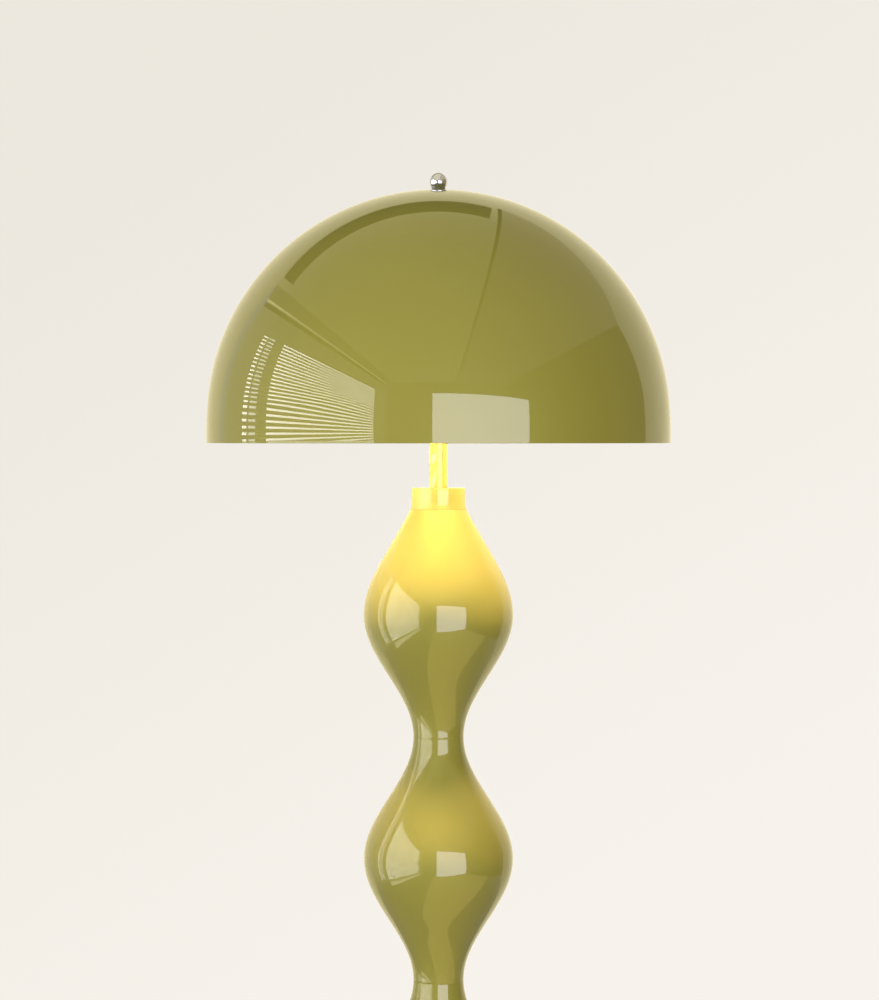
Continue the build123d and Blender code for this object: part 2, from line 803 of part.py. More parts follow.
# Centre contacts riveted through the inserts
contact_top = insert_face + contact_height
with BuildPart() as centre_contacts:
    for page, axis in lamp_frames:
        with BuildSketch(page):
            with BuildLine():
                Polyline(
                    (0, insert_level),
                    (contact_rivet_diameter / 2, insert_level),
                    (contact_rivet_diameter / 2, insert_face),
                    (contact_plate_diameter / 2, insert_face),
                    (contact_plate_diameter / 2, insert_face + contact_plate_thickness),
                    (contact_crown_diameter / 2, contact_top),
                    (0, contact_top),
                    close=True,
                )
            make_face()
        revolve(axis=axis)
centre_contacts.part.label = "centre_contacts"
export_step(centre_contacts.part, "parts/centre_contacts.step")


# Bulbs, a little clear of the centre contacts
bulb_start = contact_top + rest_gap
bulb_cap_end = bulb_start + bulb_cap_length
end_contact_radius = end_contact_diameter / 2
end_contact_end = bulb_start + end_contact_height
thread_radius = bulb_thread_diameter / 2
thread_bore = thread_radius - bulb_cap_wall
neck_of_bulb = housing_neck_diameter / 2
globe_radius = globe_diameter / 2
globe_centre = bulb_start + bulb_length - globe_radius
globe_inner_radius = globe_radius - globe_wall
globe_drop = sqrt(globe_radius**2 - globe_seat_radius**2)
globe_seat = globe_centre - globe_drop
outer_dip = degrees(asin(globe_drop / globe_radius))
inner_dip = degrees(asin(globe_drop / globe_inner_radius))
for number, (page, axis) in enumerate(lamp_frames, start=1):
    with BuildPart() as bulb_contact:
        with BuildSketch(page):
            with BuildLine():
                Polyline(
                    (0, bulb_start),
                    (end_contact_face_diameter / 2, bulb_start),
                    (end_contact_radius, bulb_start + end_contact_bevel),
                    (end_contact_radius, end_contact_end),
                    (0, end_contact_end),
                    close=True,
                )
            make_face()
        revolve(axis=axis)
    bulb_contact.part.label = f"bulb_contact_{number}"
    export_step(bulb_contact.part, f"parts/bulb_contact_{number}.step")

    with BuildPart() as bulb_cap:
        with BuildSketch(page):
            with BuildLine():
                Polyline(
                    (end_contact_radius + slip_fit, end_contact_end - bulb_cap_wall),
                    (thread_radius, end_contact_end + bulb_cap_cone - bulb_cap_wall),
                    (thread_radius, bulb_cap_end),
                    (thread_bore, bulb_cap_end),
                    (thread_bore, end_contact_end + bulb_cap_cone),
                    (end_contact_radius + slip_fit, end_contact_end),
                    close=True,
                )
            make_face()
        revolve(axis=axis)
    bulb_cap.part.label = f"bulb_cap_{number}"
    export_step(bulb_cap.part, f"parts/bulb_cap_{number}.step")

    with BuildPart() as bulb_housing:
        with BuildSketch(page):
            with BuildLine():
                flare_start = bulb_cap_end + housing_neck_length
                flare = Spline(
                    (neck_of_bulb, flare_start),
                    (globe_seat_radius, globe_seat),
                    tangents=[(0, 1), (globe_drop, globe_seat_radius)],
                )
                Polyline(
                    flare @ 1,
                    (0, globe_seat),
                    (0, globe_seat - housing_wall),
                    (globe_seat_radius - housing_wall, globe_seat - housing_wall),
                )
                inner_flare = Spline(
                    (globe_seat_radius - housing_wall, globe_seat - housing_wall),
                    (neck_of_bulb - housing_wall, flare_start),
                    tangents=[(-globe_drop, -globe_seat_radius), (0, -1)],
                )
                Polyline(
                    inner_flare @ 1,
                    (neck_of_bulb - housing_wall, bulb_cap_end - housing_spigot_length),
                    (thread_bore, bulb_cap_end - housing_spigot_length),
                    (thread_bore, bulb_cap_end),
                    (neck_of_bulb, bulb_cap_end),
                    flare @ 0,
                )
            make_face()
        revolve(axis=axis)
    bulb_housing.part.label = f"bulb_housing_{number}"
    export_step(bulb_housing.part, f"parts/bulb_housing_{number}.step")

    with BuildPart() as bulb_globe:
        with BuildSketch(page):
            with BuildLine():
                outer_arc = CenterArc((0, globe_centre), globe_radius, -outer_dip, 90 + outer_dip)
                inner_arc = CenterArc((0, globe_centre), globe_inner_radius, -inner_dip, 90 + inner_dip)
                Line(outer_arc @ 0, inner_arc @ 0)
                Line(outer_arc @ 1, inner_arc @ 1)
            make_face()
        revolve(axis=axis)
    bulb_globe.part.label = f"bulb_globe_{number}"
    export_step(bulb_globe.part, f"parts/bulb_globe_{number}.step")


# Threaded pipe from the hub's lid to above the crown
inner_nut_bottom = hub_top - lid_spigot - pipe_nut_height
pipe_top = crown_top + pipe_above_crown
with BuildPart() as top_pipe:
    with BuildSketch(Plane.XY.offset(inner_nut_bottom - pipe_tail)):
        Circle(pipe_radius)
        Circle(pipe_bore / 2, mode=Mode.SUBTRACT)
    extrude(amount=pipe_top - inner_nut_bottom + pipe_tail)
top_pipe.part.label = "top_pipe"
export_step(top_pipe.part, "parts/top_pipe.step")


# Nuts on the pipe: under the lid, over the lid and under the seat flange
seat_flange_bottom = crown_under - seat_flange_thickness
nut_levels = [inner_nut_bottom, lid_top, seat_flange_bottom - pipe_nut_height]
with BuildPart() as pipe_nuts:
    for nut_level in nut_levels:
        with BuildSketch(Plane.XY.offset(nut_level)):
            RegularPolygon(pipe_nut_flats / 2, 6, major_radius=False)
            Circle(pipe_radius, mode=Mode.SUBTRACT)
        extrude(amount=pipe_nut_height)
pipe_nuts.part.label = "pipe_nuts"
export_step(pipe_nuts.part, "parts/pipe_nuts.step")


# Seat flange: a turned disc with a flat top for the shade's land and a relieved rim
seat_flange_radius = seat_flange_diameter / 2
dome_under_rim = dome_centre + sqrt(shade_inner_radius**2 - seat_flange_radius**2)
with BuildPart() as seat_flange:
    with BuildSketch(Plane.XZ):
        with BuildLine():
            Polyline(
                (pipe_radius, seat_flange_bottom),
                (seat_flange_radius, seat_flange_bottom),
                (seat_flange_radius, dome_under_rim - seat_relief),
                (under_land_radius - seat_relief, crown_under),
                (pipe_radius, crown_under),
                close=True,
            )
        make_face()
    revolve(axis=Axis.Z)
seat_flange.part.label = "seat_flange"
export_step(seat_flange.part, "parts/seat_flange.step")


# Shade: a spun dome on a straight skirt, with a flat land round its hole
outer_sweep = degrees(acos(crown_land_radius / shade_radius))
inner_sweep = degrees(acos(under_land_radius / shade_inner_radius))
with BuildPart() as shade:
    with BuildSketch(Plane.XZ):
        with BuildLine():
            outer_dome = CenterArc((0, dome_centre), shade_radius, 0, outer_sweep)
            inner_dome = CenterArc((0, dome_centre), shade_inner_radius, 0, inner_sweep)
            Polyline(
                outer_dome @ 1,
                (pipe_radius + slip_fit, crown_top),
                (pipe_radius + slip_fit, crown_under),
                inner_dome @ 1,
            )
            Polyline(
                outer_dome @ 0,
                (shade_radius, rim_level),
                (shade_inner_radius, rim_level),
                inner_dome @ 0,
            )
        make_face()
    revolve(axis=Axis.Z)
    fillet(shade.faces().sort_by(Axis.Z)[0].edges(), radius=shade_wall / 3)
shade.part.label = "shade"
export_step(shade.part, "parts/shade.step")


# Finial: a chrome ball on a short base, with a blind thread, and the washer under it
with BuildPart() as finial_washer:
    with BuildSketch(Plane.XY.offset(crown_top)):
        Circle(finial_washer_diameter / 2)
        Circle(pipe_radius + slip_fit, mode=Mode.SUBTRACT)
    extrude(amount=finial_washer_thickness)
finial_washer.part.label = "finial_washer"
export_step(finial_washer.part, "parts/finial_washer.step")

finial_bottom = crown_top + finial_washer_thickness
finial_radius = finial_diameter / 2
finial_base_radius = finial_base_diameter / 2
ball_centre = crown_top + finial_height - finial_radius
ball_drop = sqrt(finial_radius**2 - finial_base_radius**2)
ball_dip = degrees(asin(ball_drop / finial_radius))
with BuildPart() as finial:
    with BuildSketch(Plane.XZ):
        with BuildLine():
            ball = CenterArc((0, ball_centre), finial_radius, -ball_dip, 90 + ball_dip)
            Polyline(
                ball @ 0,
                (finial_base_radius, finial_bottom),
                (pipe_radius + slip_fit, finial_bottom),
                (pipe_radius + slip_fit, finial_bottom + finial_bore_depth),
                (0, finial_bottom + finial_bore_depth),
                ball @ 1,
            )
        make_face()
    revolve(axis=Axis.Z)
finial.part.label = "finial"
export_step(finial.part, "parts/finial.step")
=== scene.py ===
"""Mushroom floor lamp: the finished looks of its pieces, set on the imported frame.

Metres, +Z up. The origin is on the floor at the middle of the foot, and -Y is the front.
"""

import json
import logging
from collections.abc import Callable
from dataclasses import dataclass, field
from enum import Enum
from math import acos, asin, cos, pi, radians, sin
from typing import ClassVar

import bpy
from mathutils import Matrix, Vector

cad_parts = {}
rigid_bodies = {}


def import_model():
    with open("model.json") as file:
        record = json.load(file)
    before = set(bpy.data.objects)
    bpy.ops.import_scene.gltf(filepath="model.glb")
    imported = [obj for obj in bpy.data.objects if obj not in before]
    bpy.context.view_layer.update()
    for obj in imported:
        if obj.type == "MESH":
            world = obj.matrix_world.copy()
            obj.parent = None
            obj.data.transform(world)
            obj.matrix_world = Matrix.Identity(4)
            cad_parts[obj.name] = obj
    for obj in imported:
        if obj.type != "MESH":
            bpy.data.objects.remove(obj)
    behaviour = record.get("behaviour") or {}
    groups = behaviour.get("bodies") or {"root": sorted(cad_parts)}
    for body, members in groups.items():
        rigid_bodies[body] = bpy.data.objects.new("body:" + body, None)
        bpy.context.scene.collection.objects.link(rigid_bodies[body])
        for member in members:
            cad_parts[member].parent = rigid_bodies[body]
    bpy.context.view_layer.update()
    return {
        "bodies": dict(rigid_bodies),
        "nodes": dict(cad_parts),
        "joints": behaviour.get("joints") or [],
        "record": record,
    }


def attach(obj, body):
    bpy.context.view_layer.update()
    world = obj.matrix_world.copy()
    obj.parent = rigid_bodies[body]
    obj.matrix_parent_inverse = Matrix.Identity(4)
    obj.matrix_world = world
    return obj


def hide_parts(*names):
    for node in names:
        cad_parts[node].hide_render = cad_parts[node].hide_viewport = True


log = logging.getLogger("mushroom_lamp")

Outline = list[tuple[float, float]]
Point = tuple[float, float, float]
Colour = tuple[float, float, float]
Piece = bpy.types.Object
Socket = bpy.types.NodeSocket
Source = float | tuple | Socket


def linear(value: int) -> float:
    """Turns one channel of a paint chart's colour, 0 to 255, into linear light."""
    share = value / 255
    return share / 12.92 if share <= 0.04045 else ((share + 0.055) / 1.055) ** 2.4


def srgb(red: int, green: int, blue: int) -> Colour:
    """Turns a colour as a paint chart gives it, 0 to 255, into linear light."""
    return linear(red), linear(green), linear(blue)


def between(first: Colour, second: Colour, share: float) -> Colour:
    """Mixes two colours."""
    return tuple(a + (b - a) * share for a, b in zip(first, second))


def times(colour: Colour, factor: float) -> Colour:
    """Makes a colour darker or lighter, though no lighter than white."""
    return tuple(min(1.0, channel * factor) for channel in colour)


# --------------------------------------------------------------------------------------
# Node sheets
# --------------------------------------------------------------------------------------


class NodeSheet:
    """The nodes of a material or of the surroundings, with short calls for the common ones."""

    def __init__(self, owner: bpy.types.Material | bpy.types.World) -> None:
        """Starts with nothing on the sheet.

        Args:
            owner: The material or the world that the nodes are for.
        """
        owner.use_nodes = True
        self.tree = owner.node_tree
        self.tree.nodes.clear()

    def put(self, place: Socket, source: Source) -> None:
        """Links a node's input to a source, or sets the input to a value.

        Args:
            place: The input.
            source: Another node's output, a number, a direction or a colour.
        """
        if isinstance(source, Socket):
            self.tree.links.new(source, place)
        elif place.type == "RGBA":
            place.default_value = (*source, 1.0)
        else:
            place.default_value = source

    def add(
        self, kind: str, inputs: dict[str | int, Source] | None = None, **options: str
    ) -> bpy.types.Node:
        """Adds a node.

        Args:
            kind: The node's type, without the prefix that all of them share.
            inputs: What goes into its inputs, by their names or places.
            options: Its own settings, such as its operation.

        Returns:
            The node.
        """
        node = self.tree.nodes.new(f"ShaderNode{kind}")
        for name, value in options.items():
            setattr(node, name, value)
        for place, source in (inputs or {}).items():
            self.put(node.inputs[place], source)
        return node

    def maths(self, operation: str, *terms: Source) -> Socket:
        """Works one sum on patterns and numbers."""
        return self.add("Math", dict(enumerate(terms)), operation=operation).outputs["Value"]

    def shades(
        self, pattern: Socket, low: Colour, high: Colour, start: float = 0.3, end: float = 0.7
    ) -> Socket:
        """Colours a pattern from one shade to another.

        Args:
            pattern: The pattern's value.
            low: The shade up to the start.
            high: The shade from the end on.
            start: The value where the change starts.
            end: The value where the change is complete.

        Returns:
            The colour.
        """
        node = self.add("ValToRGB", {"Fac": pattern})
        for stop, value, shade in zip(node.color_ramp.elements, (start, end), (low, high)):
            stop.position = value
            stop.color = (*shade, 1.0)
        return node.outputs["Color"]

    def spread(
        self, pattern: Socket, low: float, high: float, start: float = 0.3, end: float = 0.7
    ) -> Socket:
        """Maps a pattern's middle values to a range, such as of roughness.

        Args:
            pattern: The pattern's value.
            low: The range's value up to the start.
            high: The range's value from the end on.
            start: The pattern's value where the range starts.
            end: The pattern's value where the range ends.

        Returns:
            The value in the range.
        """
        limits = {"From Min": start, "From Max": end, "To Min": low, "To Max": high}
        return self.add("MapRange", {"Value": pattern, **limits}).outputs["Result"]


class FinishSheet(NodeSheet):
    """The nodes of one material: a Principled shader, and patterns that stay on the piece."""

    def __init__(self, name: str) -> None:
        """Starts the material with its shader and the piece's own coordinates.

        Args:
            name: The material's name.
        """
        self.material = bpy.data.materials.new(name)
        super().__init__(self.material)
        self.shader = self.add("BsdfPrincipled")
        self.output = self.add("OutputMaterial", {"Surface": self.shader.outputs["BSDF"]})
        self.coords = self.add("TexCoord").outputs["Object"]

    def set(self, **values: Source) -> None:
        """Sets the shader's inputs, with an underscore for each space in their names."""
        for name, source in values.items():
            self.put(self.shader.inputs[name.replace("_", " ")], source)

    def noise(self, size: float, detail: float = 2.0, stretch: Point = (1.0, 1.0, 1.0)) -> Socket:
        """Adds a soft noise.

        Args:
            size: Width of one blot, in metres.
            detail: How many finer layers it has.
            stretch: How much denser it is along each axis.

        Returns:
            The noise's value, 0 to 1.
        """
        mapping = self.add("Mapping", {"Vector": self.coords, "Scale": stretch})
        inputs = {"Vector": mapping.outputs["Vector"], "Scale": 1 / size, "Detail": detail}
        return self.add("TexNoise", inputs).outputs["Fac"]

    def cells(self, size: float) -> Socket:
        """Adds round cells, and gives the distance from each cell's middle."""
        node = self.add("TexVoronoi", {"Vector": self.coords, "Scale": 1 / size})
        return node.outputs["Distance"]

    def distance_from(self, point: Point, flat: bool = False) -> Socket:
        """Measures how far the surface is from a point.

        Args:
            point: The point.
            flat: Whether to measure from the upright line through the point instead.

        Returns:
            The distance.
        """
        step = self.add("VectorMath", {0: self.coords, 1: point}, operation="SUBTRACT")
        kept = (1, 1, 0) if flat else (1, 1, 1)
        step = self.add("VectorMath", {0: step.outputs["Vector"], 1: kept}, operation="MULTIPLY")
        length = self.add("VectorMath", {0: step.outputs["Vector"]}, operation="LENGTH")
        return length.outputs["Value"]

    def level(self) -> Socket:
        """Gives the height above the floor."""
        return self.add("SeparateXYZ", {"Vector": self.coords}).outputs["Z"]

    def bump(self, height: Socket, depth: float, strength: float = 1.0) -> None:
        """Raises the surface by a pattern, to a depth in metres."""
        node = self.add("Bump", {"Height": height, "Distance": depth, "Strength": strength})
        self.set(Normal=node.outputs["Normal"])


# --------------------------------------------------------------------------------------
# Finishes
# --------------------------------------------------------------------------------------


@dataclass(frozen=True)
class Finish:
    """A finish that pieces wear. Each kind lays out its own nodes."""

    name: str
    colour: Colour
    blot: float = 0.02  # width of the blots in its colour
    blot_share: float = 0.03  # how much darker and lighter they are
    roughness: float = 0.3
    unevenness: float = 0.1  # how much rougher it is in places

    def material(self) -> bpy.types.Material:
        """Gives the finish's material, which is made when it is first asked for.

        Returns:
            The material.
        """
        found = bpy.data.materials.get(f"{self.name}_finish")
        if found is None:
            sheet = FinishSheet(f"{self.name}_finish")
            self.lay_out(sheet)
            found = sheet.material
        return found

    def lay_out(self, sheet: FinishSheet) -> None:
        """Adds the finish's nodes to its sheet."""
        raise NotImplementedError

    def blots(self, sheet: FinishSheet) -> Socket:
        """Lets the colour wander in blots that are a little darker and lighter."""
        low, high = (times(self.colour, 1 + sign * self.blot_share) for sign in (-1, 1))
        return sheet.shades(sheet.noise(self.blot, detail=3.0), low, high)

    def shine(self, sheet: FinishSheet, pattern: Socket) -> Socket:
        """Makes the surface rougher where a pattern is high."""
        return sheet.spread(pattern, self.roughness, self.roughness + self.unevenness)


@dataclass(frozen=True)
class Lacquer(Finish):
    """Sprayed gloss lacquer: thick colour with a faint orange peel under a clear top coat."""

    blot: float = 0.16
    roughness: float = 0.42
    unevenness: float = 0.08
    cloud: float = 0.03  # width of the soft patches in its shine
    coat: float = 1.0
    peel: float = 0.0022  # width of the orange peel's dimples
    peel_depth: float = 0.0000012

    def lay_out(self, sheet: FinishSheet) -> None:
        """Lays out the colour, the body's soft shine, the peel and the top coat.

        Args:
            sheet: The finish's sheet.
        """
        sheet.set(Base_Color=self.blots(sheet))
        sheet.set(Roughness=self.shine(sheet, sheet.noise(self.cloud)), Specular_IOR_Level=0.08)
        sheet.set(Coat_Weight=self.coat, Coat_Roughness=0.012, Coat_IOR=1.52)
        sheet.bump(sheet.noise(self.peel, detail=1.0), self.peel_depth)


@dataclass(frozen=True)
class Metal(Finish):
    """Plated or polished metal with hairline scratches."""

    blot: float = 0.01
    scratch: float = 0.004
    scratch_depth: float = 0.000004
    polish: tuple[float, float] = (0.75, 1.35)  # least and greatest share of the roughness

    def shine(self, sheet: FinishSheet, pattern: Socket) -> Socket:
        """Makes the metal duller, in proportion, where a pattern is high."""
        return sheet.spread(pattern, *(self.roughness * share for share in self.polish))

    def lay_out(self, sheet: FinishSheet) -> None:
        """Lays out the colour, the uneven polish and the scratches.

        Args:
            sheet: The finish's sheet.
        """
        scratches = sheet.noise(self.scratch, detail=4.0, stretch=(1.0, 1.0, 12.0))
        sheet.set(Base_Color=self.blots(sheet), Metallic=1.0)
        sheet.set(Roughness=self.shine(sheet, scratches))
        sheet.bump(scratches, self.scratch_depth, 0.3)


@dataclass(frozen=True)
class TurnedMetal(Finish):
    """Metal off the lathe, with rings from the tool that go round the column's axis."""

    blot: float = 0.012
    blot_share: float = 0.04
    roughness: float = 0.28
    cloud: float = 0.006
    ring: float = 0.00045
    ring_depth: float = 0.000012

    def lay_out(self, sheet: FinishSheet) -> None:
        """Lays out the colour, the tool's rings and the uneven polish.

        Args:
            sheet: The finish's sheet.
        """
        place = sheet.maths("ADD", sheet.distance_from((0, 0, 0), flat=True), sheet.level())
        rings = sheet.maths("PINGPONG", place, self.ring)
        sheet.set(Base_Color=self.blots(sheet), Metallic=1.0)
        sheet.set(Roughness=self.shine(sheet, sheet.noise(self.cloud, detail=3.0)))
        sheet.bump(sheet.spread(rings, 0.0, 1.0, 0.0, self.ring), self.ring_depth, 0.5)


@dataclass(frozen=True)
class ThreadedMetal(Finish):
    """Threaded tube whose crests go round every run that starts at one centre."""

    roughness: float = 0.26
    unevenness: float = 0.16
    cloud: float = 0.003
    centre: Point = (0.0, 0.0, 0.0)
    pitch: float = 0.001
    depth: float = 0.0004
    # how dark the painted shade in the thread's roots is
    painted_root_shade: float = 0.55

    def lay_out(self, sheet: FinishSheet) -> None:
        """Lays out the thread's crests and the painted shade that darkens its roots.

        Args:
            sheet: The finish's sheet.
        """
        run = sheet.maths("PINGPONG", sheet.distance_from(self.centre), self.pitch / 2)
        crest = sheet.spread(run, 0.0, 1.0, 0.0, self.pitch / 2)
        # painted shade: the roots are coloured darker than the crests
        root = times(self.colour, self.painted_root_shade)
        sheet.set(Base_Color=sheet.shades(crest, root, self.colour, 0.05, 0.5), Metallic=1.0)
        sheet.set(Roughness=self.shine(sheet, sheet.noise(self.cloud, detail=3.0)))
        sheet.bump(crest, self.depth)


@dataclass(frozen=True)
class PowderCoat(Finish):
    """Baked powder coat, evenly pebbled."""

    blot: float = 0.03
    blot_share: float = 0.1
    roughness: float = 0.42
    unevenness: float = 0.16
    pebble: float = 0.0009
    pebble_depth: float = 0.00005

    def lay_out(self, sheet: FinishSheet) -> None:
        """Lays out the colour and the pebbles.

        Args:
            sheet: The finish's sheet.
        """
        pebbles = sheet.noise(self.pebble)
        sheet.set(Base_Color=self.blots(sheet), Roughness=self.shine(sheet, pebbles))
        sheet.bump(pebbles, self.pebble_depth, 0.7)


@dataclass(frozen=True)
class CastIron(Finish):
    """A sand casting under a thin primer."""

    blot_share: float = 0.25
    roughness: float = 0.6
    unevenness: float = 0.25
    grain: float = 0.0015
    grain_depth: float = 0.0002

    def lay_out(self, sheet: FinishSheet) -> None:
        """Lays out the sand's grain and the uneven primer.

        Args:
            sheet: The finish's sheet.
        """
        grain = sheet.noise(self.grain, detail=5.0)
        sheet.set(Base_Color=self.blots(sheet), Metallic=0.35, Roughness=self.shine(sheet, grain))
        sheet.bump(grain, self.grain_depth, 0.8)


@dataclass(frozen=True)
class Foam(Finish):
    """Closed-cell foam with small open pores."""

    roughness: float = 0.92
    pore: float = 0.0012
    pore_depth: float = 0.0003
    # how dark the painted shade in the pores' bottoms is
    painted_pore_shade: float = 0.4

    def lay_out(self, sheet: FinishSheet) -> None:
        """Lays out the pores, with painted shade in their bottoms.

        Args:
            sheet: The finish's sheet.
        """
        pores = sheet.cells(self.pore)
        # painted shade: the pores' bottoms are coloured darker
        bottom = times(self.colour, self.painted_pore_shade)
        sheet.set(Base_Color=sheet.shades(pores, bottom, self.colour, 0.05, 0.35))
        sheet.set(Roughness=self.roughness, Specular_IOR_Level=0.2)
        sheet.bump(pores, self.pore_depth, 0.8)


@dataclass(frozen=True)
class Moulded(Finish):
    """Moulded plastic with a fine spark-eroded texture."""

    grain: float = 0.0006
    grain_depth: float = 0.000012
    clearness: float = 0.0

    def lay_out(self, sheet: FinishSheet) -> None:
        """Lays out the colour, the fine texture and its uneven shine.

        Args:
            sheet: The finish's sheet.
        """
        grain = sheet.noise(self.grain, detail=3.0)
        sheet.set(Base_Color=self.blots(sheet), Roughness=self.shine(sheet, grain))
        sheet.set(Subsurface_Weight=self.clearness, Subsurface_Scale=0.002)
        sheet.bump(grain, self.grain_depth, 0.6)


@dataclass(frozen=True)
class Glaze(Finish):
    """Glazed porcelain: a glassy coat over a body with faint specks."""

    roughness: float = 0.25
    clay: Colour = (0.55, 0.47, 0.36)
    clay_share: float = 0.25
    speck: float = 0.0008
    ripple: float = 0.005
    ripple_depth: float = 0.00004

    def lay_out(self, sheet: FinishSheet) -> None:
        """Lays out the specks and the glaze's slow ripple.

        Args:
            sheet: The finish's sheet.
        """
        specks = sheet.noise(self.speck, detail=4.0)
        warmer = between(self.colour, self.clay, self.clay_share)
        sheet.set(Base_Color=sheet.shades(specks, warmer, self.colour, 0.28, 0.42))
        sheet.set(Coat_Weight=1.0, Coat_Roughness=0.06, Roughness=self.shine(sheet, specks))
        sheet.bump(sheet.noise(self.ripple), self.ripple_depth, 0.5)


@dataclass(frozen=True)
class Opal(Finish):
    """Opal diffuser of a lit bulb: milky, with a faintly cloudy coat of powder inside."""

    blot: float = 0.012
    roughness: float = 0.22
    cloud: float = 0.004
    ripple: float = 0.002
    ripple_depth: float = 0.000008
    light: Colour = (1.0, 1.0, 1.0)
    strength: float = 10.0

    def lay_out(self, sheet: FinishSheet) -> None:
        """Lays out the milky body, its clouds and the light.

        Args:
            sheet: The finish's sheet.
        """
        sheet.set(Base_Color=self.blots(sheet))
        sheet.set(Roughness=self.shine(sheet, sheet.noise(self.cloud)))
        sheet.set(Emission_Color=self.light, Emission_Strength=self.strength)
        sheet.bump(sheet.noise(self.ripple), self.ripple_depth, 0.4)


HUB_CENTRE = (0.0, 0.0, 1.3102)
ENAMEL = Lacquer("white_enamel", srgb(236, 232, 220), coat=0.35, roughness=0.38)
PIECE_FINISHES = (
    Lacquer("olive_lacquer", srgb(152, 144, 58)),
    # the chrome's blue tint is painted light: it cancels the yellow of the room it mirrors, so its
    # reflections come out grey
    Metal("chrome", srgb(201, 203, 234), roughness=0.03, scratch_depth=0.0000005),
    Moulded("clear_nylon", srgb(206, 206, 196), roughness=0.2, clearness=0.9),
    Metal("bare_steel", srgb(180, 182, 184)),
    TurnedMetal("satin_nickel", srgb(206, 202, 192)),
    ThreadedMetal("yellow_zinc", srgb(214, 190, 126), centre=HUB_CENTRE),
    PowderCoat("black_steel", srgb(36, 36, 37)),
    CastIron("cast_iron", srgb(66, 66, 68)),
    Foam("black_foam", srgb(40, 40, 41)),
    Moulded("black_nylon", srgb(34, 34, 35), roughness=0.45),
    Moulded("terminal_white", srgb(226, 222, 212), roughness=0.5),
    Moulded("cable_white", srgb(230, 229, 224), roughness=0.4),
    Moulded("holder_white", srgb(232, 229, 220), roughness=0.26),
    Glaze("holder_ceramic", srgb(232, 229, 221)),
    Metal("pressed_brass", srgb(214, 178, 104), roughness=0.24),
    Metal("bulb_metal", srgb(200, 200, 198), roughness=0.26),
    Moulded("bulb_plastic", srgb(236, 235, 231)),
    Opal("bulb_opal", srgb(248, 244, 236), light=srgb(255, 240, 214), strength=3.0),
)
FINISHES: dict[str, Finish] = {finish.name: finish for finish in PIECE_FINISHES}


# --------------------------------------------------------------------------------------
# Modelling bench
# --------------------------------------------------------------------------------------


